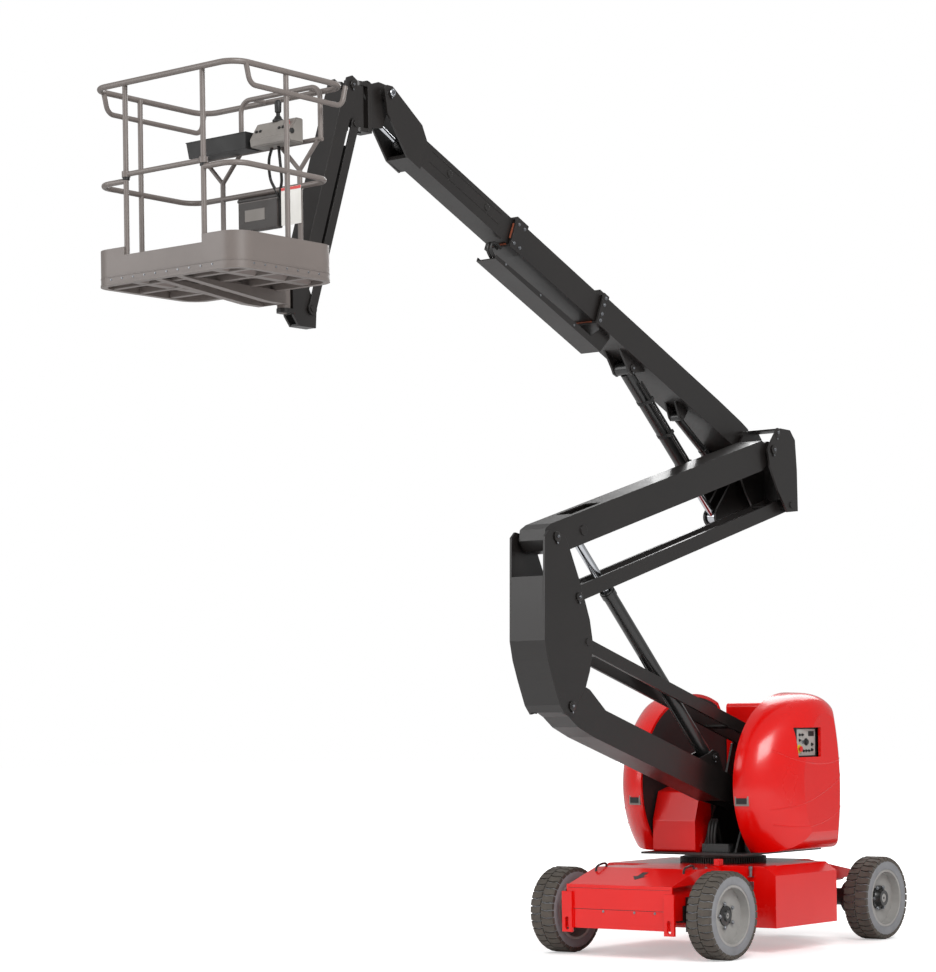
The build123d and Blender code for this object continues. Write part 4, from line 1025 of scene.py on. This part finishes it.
    def inside(self) -> None:
        """Fill the dark space between the covers with the hydraulic unit and its hoses."""
        at = self.machine.at
        unit = Piece("hydraulic_unit", BLACK_ENAMEL, "turret")
        unit.block(at(-600, 300, 681), at(180, 372, 860), 0.006)
        unit.block(at(-560, 300, 860), at(-60, 365, 1010), 0.006)
        unit.block(at(230, 20, 681), at(300, 250, 740), 0.005)
        unit.rod(at(150, 330, 861), at(150, 330, 930), 0.030)
        unit.build()
        hoses = Piece("turret_hoses", HOSE_RUBBER, "turret")
        for shift in (0, 26, 52):
            line = [(270, 60 + shift, 735), (272, 62 + shift, 800), (250, 60 + shift, 880),
                    (190, 50 + shift * 0.6, 900), (110, 30 + shift * 0.4, 800), (60, 30, 700)]
            hoses.tube([at(*spot) for spot in line], 0.010)
        hoses.build()

    def build(self) -> None:
        """Make all of it."""
        self.shade_panels()
        self.latches()
        self.creases()
        self.controls()
        self.inside()


# ---------------------------------------------------------------- tower and boom
@dataclass
class BoomTrim:
    """Pads, fittings, ribs and hoses of the telescopic boom and its cylinders."""

    machine: Machine

    def on(self, along: float, up: float, side: float) -> Vector:
        """A point in the boom's own frame, in millimetres."""
        machine = self.machine
        return (machine.pin("boom_lift") + machine.boom_ahead * (along * MM) + machine.boom_up * (up * MM)
                + ACROSS * (side * MM))

    def box(self, piece: Piece, along: Sequence[float], up: Sequence[float], side: Sequence[float],
            edge: float = 1.5) -> None:
        """Add a block along the boom, in millimetres."""
        ahead, lift = self.machine.boom_ahead, self.machine.boom_up
        turn = Matrix((ahead, ACROSS, lift)).transposed().to_4x4()
        place = Matrix.Translation(self.machine.pin("boom_lift")) @ turn
        piece.block([v * MM for v in (along[0], side[0], up[0])],
                    [v * MM for v in (along[1], side[1], up[1])],
                    edge * MM, place)

    def fly(self) -> None:
        """Add the pressed ribs, the bosses and the wear pads of the inner sections."""
        ribs = Piece("fly_ribs", DARK_ENAMEL, "boom_fly")
        for side in (75.5, -78.0):
            for up in (46, -30):
                self.box(ribs, (3000, 3760), (up, up + 5), (side, side + 2.5), 0.8)
        for along in (3150, 3560):
            ribs.turned(self.on(along, 10, 75), ACROSS,
                        [(0, 0.024), (0.004, 0.024), (0.006, 0.017), (0.004, 0.014)])
        ribs.build()
        pads = Piece("mid_wear_pads", PAD_NYLON, "boom_mid")
        self.box(pads, (2874, 2886), (80, 88), (-60, 60), 1)
        self.box(pads, (2874, 2888), (-106, -99), (-70, 70), 1)
        for side in (-94, 83):
            self.box(pads, (2874, 2886), (-60, 50), (side, side + 11), 1)
        pads.build()
        base_pads = Piece("base_wear_pads", PAD_NYLON, "boom_base")
        self.box(base_pads, (1870, 1881), (90, 98), (-80, 80), 1)
        self.box(base_pads, (1870, 1881), (-116, -108), (-80, 80), 1)
        base_pads.build()

    def bolts(self) -> None:
        """Set the pad screws of both collars, the grease fittings and the saddle."""
        spots = [(self.on(along, up, 108), ACROSS, 0.009) for along in (2785, 2848) for up in (-80, 60)]
        Bolts("mid_collar_bolts", "boom_mid", spots).build()
        spots = [(self.on(1845, up, 126), ACROSS, 0.010) for up in (-90, -40, 30, 80)]
        spots += [(self.on(along, -232, 80), ACROSS, 0.006) for along in (2040, 2440, 2840)]
        Bolts("base_collar_bolts", "boom_base", spots).build()
        fittings = Piece("collar_fittings", YELLOW_ZINC, "boom_base")
        for along in (1800, 1832):
            fittings.rod(self.on(along, 128, 66), self.on(along, 128, 84), 0.007)
        fittings.build()
        saddle = Piece("collar_saddle", DARK_ENAMEL, "boom_base")
        self.box(saddle, (1770, 1862), (106, 150), (-70, 70), 4)
        saddle.build()

    def hoses(self) -> None:
        """Hang the loops at the tray's end, and run the hoses and the pipe of the two cylinders."""
        loops = Piece("tray_hose_loops", HOSE_RUBBER, "boom_base")
        for side in (20, 48):
            line = [(2800, -238), (2900, -236), (2975, -205), (2988, -160), (2950, -135), (2895, -140)]
            loops.tube([self.on(along, up, side) for along, up in line], 0.010)
        loops.build()
        head = self.machine.pin("boom_cylinder_turn")
        way = Vector(self.machine.joints["boom_cylinder_stroke"]["axis"])
        lift = way.cross(ACROSS).normalized() * 0.012
        pair = Piece("boom_cylinder_hoses", HOSE_RUBBER, "boom_cylinder_barrel")
        for sign in (1, -1):
            start, end = (head + way * reach + ACROSS * 0.066 + lift * sign for reach in (0.14, 0.98))
            pair.rod(start, end, 0.008, 10)
        pair.build()
        clamp = Piece("boom_cylinder_clamps", BLACK_ABS, "boom_cylinder_barrel")
        length = 0.024
        for distance in (0.30, 0.62, 0.92):
            rear = head + way * distance - way * (length / 2)
            clamp.turned(rear, way, [(0, 0.049), (length, 0.049)], 24)
            corners = ((0.04, 2.2), (0.078, 2.2), (0.078, -2.2), (0.04, -2.2))
            clamp.plate([rear + ACROSS * out + lift * up for out, up in corners], way * length)
        clamp.build()
        foot = self.machine.pin("tower_cylinder_turn")
        way = Vector(self.machine.joints["tower_cylinder_stroke"]["axis"])
        way *= math.copysign(1.0, way.z)
        pipe = Piece("tower_cylinder_pipe", BLACK_ENAMEL, "tower_cylinder_barrel")
        up = way.cross(ACROSS).normalized() * -0.058
        line = ((0.16, 0.7), (0.22, 1.0), (0.6, 1.0), (1.0, 1.0), (1.06, 0.75))
        pipe.tube([foot + way * along + up * share for along, share in line], 0.008)
        pipe.build()

    def build(self) -> None:
        """Make all of it."""
        self.fly()
        self.bolts()
        self.hoses()


@dataclass
class JibTrim:
    """Cables at the boom's nose and down the jib."""

    machine: Machine

    def build(self) -> None:
        """Make the nose's loop and the hose that hangs beside the jib."""
        nose, jib = self.machine.pin("level_turn"), self.machine.pin("jib_lift")
        loop = Piece("nose_hose_loop", HOSE_RUBBER, "levelling_bracket")
        for side in (0.004, 0.022):
            line = [(0.095, -0.02), (0.105, 0.030), (0.145, 0.055), (0.185, 0.035), (0.195, -0.01),
                    (0.165, -0.06)]
            loop.tube([nose + Vector((x, side, z)) for x, z in line], 0.008)
        loop.build()
        end = Piece("nose_pin_end", HARD_CHROME, "boom_fly")
        end.turned(nose + ACROSS * 0.096, ACROSS,
                   [(0, 0.024), (0.010, 0.024), (0.013, 0.021), (0.013, 0.013), (0.006, 0.012)])
        end.build()
        down = (self.machine.pin("jib_foot_turn") - jib).normalized()
        out = Vector((-down.z, 0, down.x))
        cable = Piece("jib_hoses", HOSE_RUBBER, "jib_arm")
        for side in (-0.018, 0.006):
            cable.tube([jib + down * d + ACROSS * side + out * 0.038 for d in (0.10, 0.4, 0.72, 1.08)], 0.009)
        cable.build()


# ---------------------------------------------------------------- basket
@dataclass
class BasketTrim:
    """Console, tray, papers box, blank sign, under-frame and seams of the basket."""

    machine: Machine
    back: float = 4550.1
    front: float = 5397.1
    floor_z: float = 4234.7
    middle_y: float = -140.0
    half_width: float = 582.0
    corner: float = 130.0
    desk_x: float = 43.5
    desk_z: float = 776
    rail_x: float = 23.5

    def on_desk(self, x: float, y: float, z: float) -> Vector:
        """A place ahead of the console's back and above its foot, in millimetres."""
        return self.machine.at(self.back + self.desk_x + x, y, self.floor_z + self.desk_z + z)

    def on_rail(self, x: float, y: float, z: float) -> Vector:
        """A place ahead of the rear rail and above the floor, in millimetres."""
        return self.machine.at(self.back + self.rail_x + x, y, self.floor_z + z)

    def console(self) -> None:
        """Model the sloping console and the tapered tray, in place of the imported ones."""
        desk = Piece("console_box", GREY_ABS, "basket")
        side_view = [(0, 0), (118, 0), (126, 44), (58, 145), (0, 145)]
        desk.plate([self.on_desk(x, -93, z) for x, z in side_view], ACROSS * 0.315)
        bmesh.ops.bevel(desk.shape, geom=desk.shape.edges[:], offset=0.006, segments=2, affect="EDGES")
        desk.block(self.on_desk(-20, -60, 28.5), self.on_desk(6, 190, 40), 0.001)
        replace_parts(desk.build(), "platform_console")
        tray = Piece("console_tray", BLACK_ABS, "basket")
        rings = []
        for z, inset in ((0, 14), (92, 3), (92, 0), (96, 0), (96, 7), (90, 7), (8, 19)):
            corners = ((inset, -600 + inset), (141 - inset, -600 + inset), (141 - inset, -108 - inset),
                       (inset, -108 - inset))
            rings.append([tray.shape.verts.new(self.on_desk(x, y, z)) for x, y in corners])
        skin(tray.shape, rings)
        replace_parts(tray.build(), "platform_console")

    def controls(self) -> None:
        """Add the joystick, the stop button, switches and cables of the console."""
        slope = Vector((0.8, 0, 0.55))
        stick = Piece("joystick", BLACK_ABS, "basket")
        stick.turned(self.on_desk(40, 60, 143), Vector((0.05, 0.05, 1)),
                     [(0, 0.034), (0.010, 0.034), (0.016, 0.026), (0.030, 0.018), (0.036, 0.012),
                      (0.050, 0.012), (0.056, 0.019), (0.110, 0.021), (0.122, 0.015), (0.126, 0.008)])
        for y in (-60, -30, 120, 150):
            stick.turned(self.on_desk(92, y, 88), slope, [(0, 0.009), (0.010, 0.009), (0.013, 0.005)], 14)
        stick.turned(self.on_desk(100, 215, 60), ACROSS, [(0, 0.016), (0.012, 0.016), (0.015, 0.010)])
        stick.build()
        stop = Piece("console_stop_button", SIGNAL_RED, "basket")
        stop.turned(self.on_desk(80, 180, 108), slope,
                    [(0, 0.009), (0.014, 0.009), (0.016, 0.018), (0.024, 0.018), (0.028, 0.012)])
        stop.build()
        cables = Piece("console_cables", HOSE_RUBBER, "basket")
        for line in ([(30, 0, 4), (26, -30, -70), (0, -45, -170), (-14, -10, -250), (-40, 10, -330),
                      (-50, 0, -440)],
                     [(40, 60, 4), (36, 66, -80), (6, 50, -190), (-14, 20, -262), (-44, 30, -330),
                      (-54, 30, -440)]):
            cables.tube([self.on_desk(*spot) for spot in line], 0.009)
        cables.build()

    def boards(self) -> None:
        """Hang the papers box and the blank sign on the mid rail."""
        boards = (("papers_box", DARK_ABS, "", [((-53, -338, 322), (-7, -15, 500), 0.006),
                                                ((-50, -342, 500), (-4, -11, 520), 0.004)]),
                  ("papers_box_plate", GREY_ABS, "", [((-8, -280, 380), (-5.5, -120, 450), 0.0008)]),
                  ("blank_sign", WHITE_VINYL, "", [((17, 37, 318), (19, 194, 540), 0.0006)]),
                  ("blank_sign_band", SIGNAL_RED, "warm_grey_paint",
                   [((18.6, 38, 522), (19.6, 193, 539), 0.0003)]))
        for name, finish, slot, table in boards:
            make_blocks(name, finish, "basket", self.on_rail, table, slot)

    def ring(self, inset: float) -> list[tuple[float, float]]:
        """The rounded outline of the basket, drawn smaller by an inset, in millimetres."""
        radius, steps, points = self.corner - inset, 8, []
        front, back = self.front - self.corner, self.back + self.corner
        left = self.middle_y + self.half_width - self.corner
        right = self.middle_y - self.half_width + self.corner
        for x, y, start in ((front, left, 0), (back, left, 90), (back, right, 180), (front, right, 270)):
            for k in range(steps + 1):
                turn = math.radians(start + 90 * k / steps)
                points.append((x + radius * math.cos(turn), y + radius * math.sin(turn)))
        return points

    def seams(self) -> None:
        """Run the rolled rim and the seam round the floor, with its rivets."""
        at = self.machine.at
        rim = Piece("floor_rim", GREY_POWDER_COAT, "basket")
        for low_z, high_z, inset in ((-53, -40, -3.0), (-8, -2, -2.0)):
            outer, inner = self.ring(inset), self.ring(6.0)
            loops = [[rim.shape.verts.new(at(x, y, self.floor_z + z)) for x, y in line]
                     for line, z in ((outer, low_z), (outer, high_z), (inner, high_z), (inner, low_z))]
            skin(rim.shape, loops, closed=True)
        rim.build(40)
        row_z, left_y = self.floor_z - 22, self.middle_y + self.half_width
        spots = [(at(self.front, y, row_z), AHEAD, 0.005) for y in range(-560, 300, 90)]
        spots += [(at(x, left_y, row_z), ACROSS, 0.005) for x in range(4720, 5280, 90)]
        Bolts("floor_rivets", "basket", spots).build()

    def under_frame(self) -> None:
        """Lay the channels and cross tubes below the floor."""
        at = self.machine.at
        frame = Piece("under_frame", GREY_POWDER_COAT, "basket")
        for x in (4760, 5010, 5225):
            frame.block(at(x, -684, self.floor_z - 50), at(x + 42, 404, self.floor_z - 11), 0.003)
        for y in (-480, 160):
            section = [(0, -12), (0, -22), (30, -48), (90, -48), (120, -22), (120, -12)]
            frame.plate([at(4590, y + b, self.floor_z + z) for b, z in section], Vector((0.77, 0, 0)))
        frame.build()

    def small_parts(self) -> None:
        """Add the black clips that the drop bar rests in."""
        clips = Piece("drop_bar_clips", BLACK_ABS, "basket")
        for y in (-450, 170):
            low, high = (self.machine.at(self.front - 24, y, self.floor_z + z) for z in (540, 566))
            clips.rod(low, high, 0.021)
        clips.build()

    def build(self) -> None:
        """Make all of it."""
        self.small_parts()
        self.console()
        self.controls()
        self.boards()
        self.seams()
        self.under_frame()


# ---------------------------------------------------------------- studio
@dataclass
class Studio:
    """Camera, floor and lamps."""

    distance_from_slew: tuple[float, float, float] = (16.606, 11.125, 1.687)
    heading_deg: float = 39.013
    roll_deg: float = -0.796
    lens_mm: float = 103.14
    shift_y: float = 0.2332
    sensor_mm: float = 36.0
    # name, place, size in metres and power in watts
    lamps: tuple = (("key", (6.0, 9.0, 10.0), 6.0, 1250.0), ("fill", (10.0, -5.0, 6.0), 7.0, 420.0),
                    ("back", (-9.0, -3.0, 9.0), 6.0, 500.0))

    def camera(self, slew_x: float) -> None:
        """Place the camera that looks back at the machine from its front left.

        Args:
            slew_x: where the slew axis stands.
        """
        data = bpy.data.cameras.new("camera")
        data.sensor_width = self.sensor_mm
        data.lens = self.lens_mm
        data.shift_y = self.shift_y
        data.clip_end = 100.0
        camera = bpy.data.objects.new("camera", data)
        bpy.context.collection.objects.link(camera)
        x, y, z = self.distance_from_slew
        heading = math.radians(self.heading_deg)
        look = Vector((-math.cos(heading), -math.sin(heading), 0.0))
        right = look.cross(UP)
        turn = Matrix((right, UP, -look)).transposed().to_4x4()
        roll = Matrix.Rotation(math.radians(self.roll_deg), 4, "Z")
        camera.matrix_world = Matrix.Translation((slew_x + x, y, z)) @ turn @ roll
        bpy.context.scene.camera = camera

    def lamp(self, name: str, place: Vector, target: Vector, size: float, power: float) -> None:
        """Hang a square soft lamp that faces a target."""
        data = bpy.data.lights.new(name, "AREA")
        data.size = size
        data.energy = power
        lamp = bpy.data.objects.new(name, data)
        lamp.location = place
        lamp.rotation_euler = (target - place).to_track_quat("-Z", "Y").to_euler()
        bpy.context.collection.objects.link(lamp)

    def floor(self) -> None:
        """Lay a pale floor that keeps the object's shadow and fades into white."""
        shape = bmesh.new()
        reach = 60.0
        corners = ((-reach, -reach, 0), (reach, -reach, 0), (reach, reach, 0), (-reach, reach, 0))
        shape.faces.new([shape.verts.new(corner) for corner in corners])
        floor = new_object("floor", shape)
        material = bpy.data.materials.new("pale_floor")
        material.use_nodes = True
        tree = material.node_tree
        tree.nodes.clear()
        matt = add_node(tree, "ShaderNodeBsdfDiffuse", {"Color": linear("F4F4F4")})
        place = add_node(tree, "ShaderNodeTexCoord").outputs["Object"]
        far = add_node(tree, "ShaderNodeVectorMath", {0: place}, operation="LENGTH")
        fade = add_node(tree, "ShaderNodeMapRange",
                        {"Value": far.outputs["Value"], "From Min": 4.0, "From Max": 11.0, "To Min": 0.40,
                         "To Max": 1.0})
        glow = add_node(tree, "ShaderNodeEmission", {"Color": linear("FFFFFF"), "Strength": fade.outputs[0]})
        both = add_node(tree, "ShaderNodeAddShader", {0: matt.outputs[0], 1: glow.outputs[0]})
        ray = add_node(tree, "ShaderNodeLightPath")
        seen = add_node(tree, "ShaderNodeMixShader",
                        {0: ray.outputs["Is Camera Ray"], 1: matt.outputs[0], 2: both.outputs[0]})
        add_node(tree, "ShaderNodeOutputMaterial", {"Surface": seen.outputs[0]})
        floor.data.materials.append(material)

    def world(self) -> None:
        """Light the scene evenly and show white behind it."""
        world = bpy.data.worlds.new("studio")
        bpy.context.scene.world = world
        world.use_nodes = True
        tree = world.node_tree
        tree.nodes.clear()
        ray = add_node(tree, "ShaderNodeLightPath")
        fill = add_node(tree, "ShaderNodeBackground", {"Color": linear("FFFFFF"), "Strength": 0.45})
        white = add_node(tree, "ShaderNodeBackground", {"Color": linear("FFFFFF"), "Strength": 1.0})
        mix = add_node(tree, "ShaderNodeMixShader",
                       {0: ray.outputs["Is Camera Ray"], 1: fill.outputs[0], 2: white.outputs[0]})
        add_node(tree, "ShaderNodeOutputWorld", {"Surface": mix.outputs[0]})

    def build(self, slew_x: float) -> None:
        """Set up the whole studio."""
        scene = bpy.context.scene
        scene.view_settings.view_transform = "Standard"
        self.camera(slew_x)
        self.floor()
        self.world()
        middle = Vector((0.3, 0.0, 2.6))
        for name, place, size, power in self.lamps:
            self.lamp(name, Vector(place), middle, size, power)


def dress_pins(machine: Machine) -> None:
    """Put heads and keepers on both ends of the large pins, on whichever node lies outermost there."""
    ends: dict[tuple[str, int], list[tuple[Vector, float]]] = {}
    for joint, radius_mm in PIN_HEADS:
        for side in (1, -1):
            found = machine.outermost(machine.pin(joint), side)
            if found is not None:
                body, place = found
                ends.setdefault((body, side), []).append((place, radius_mm * MM))
    for (body, side), pins in ends.items():
        PinHeads(body, side, pins).build()


# ---------------------------------------------------------------- main
def main() -> None:
    """Load the frame, dress it, build the trim and set up the studio."""
    logging.basicConfig(level=logging.INFO, format="%(message)s")
    machine = Machine(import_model())
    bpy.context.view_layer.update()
    Studio().build(machine.slew_x)
    machine.dress_nodes()
    dress_pins(machine)
    for front in ("front", "rear"):
        for side_name, side in (("left", 1), ("right", -1)):
            name = f"{front}_{side_name}"
            Tyre(f"{name}_wheel", f"{name}_tyre", machine.pin(f"{name}_wheel"), side).build()
            WheelTrim(machine, f"{name}_wheel", side, front == "rear").build()
    ChassisTrim(machine).build()
    SlewTeeth(machine).build()
    TurretTrim(machine).build()
    BoomTrim(machine).build()
    JibTrim(machine).build()
    BasketTrim(machine).build()


if __name__ == "__main__":
    main()
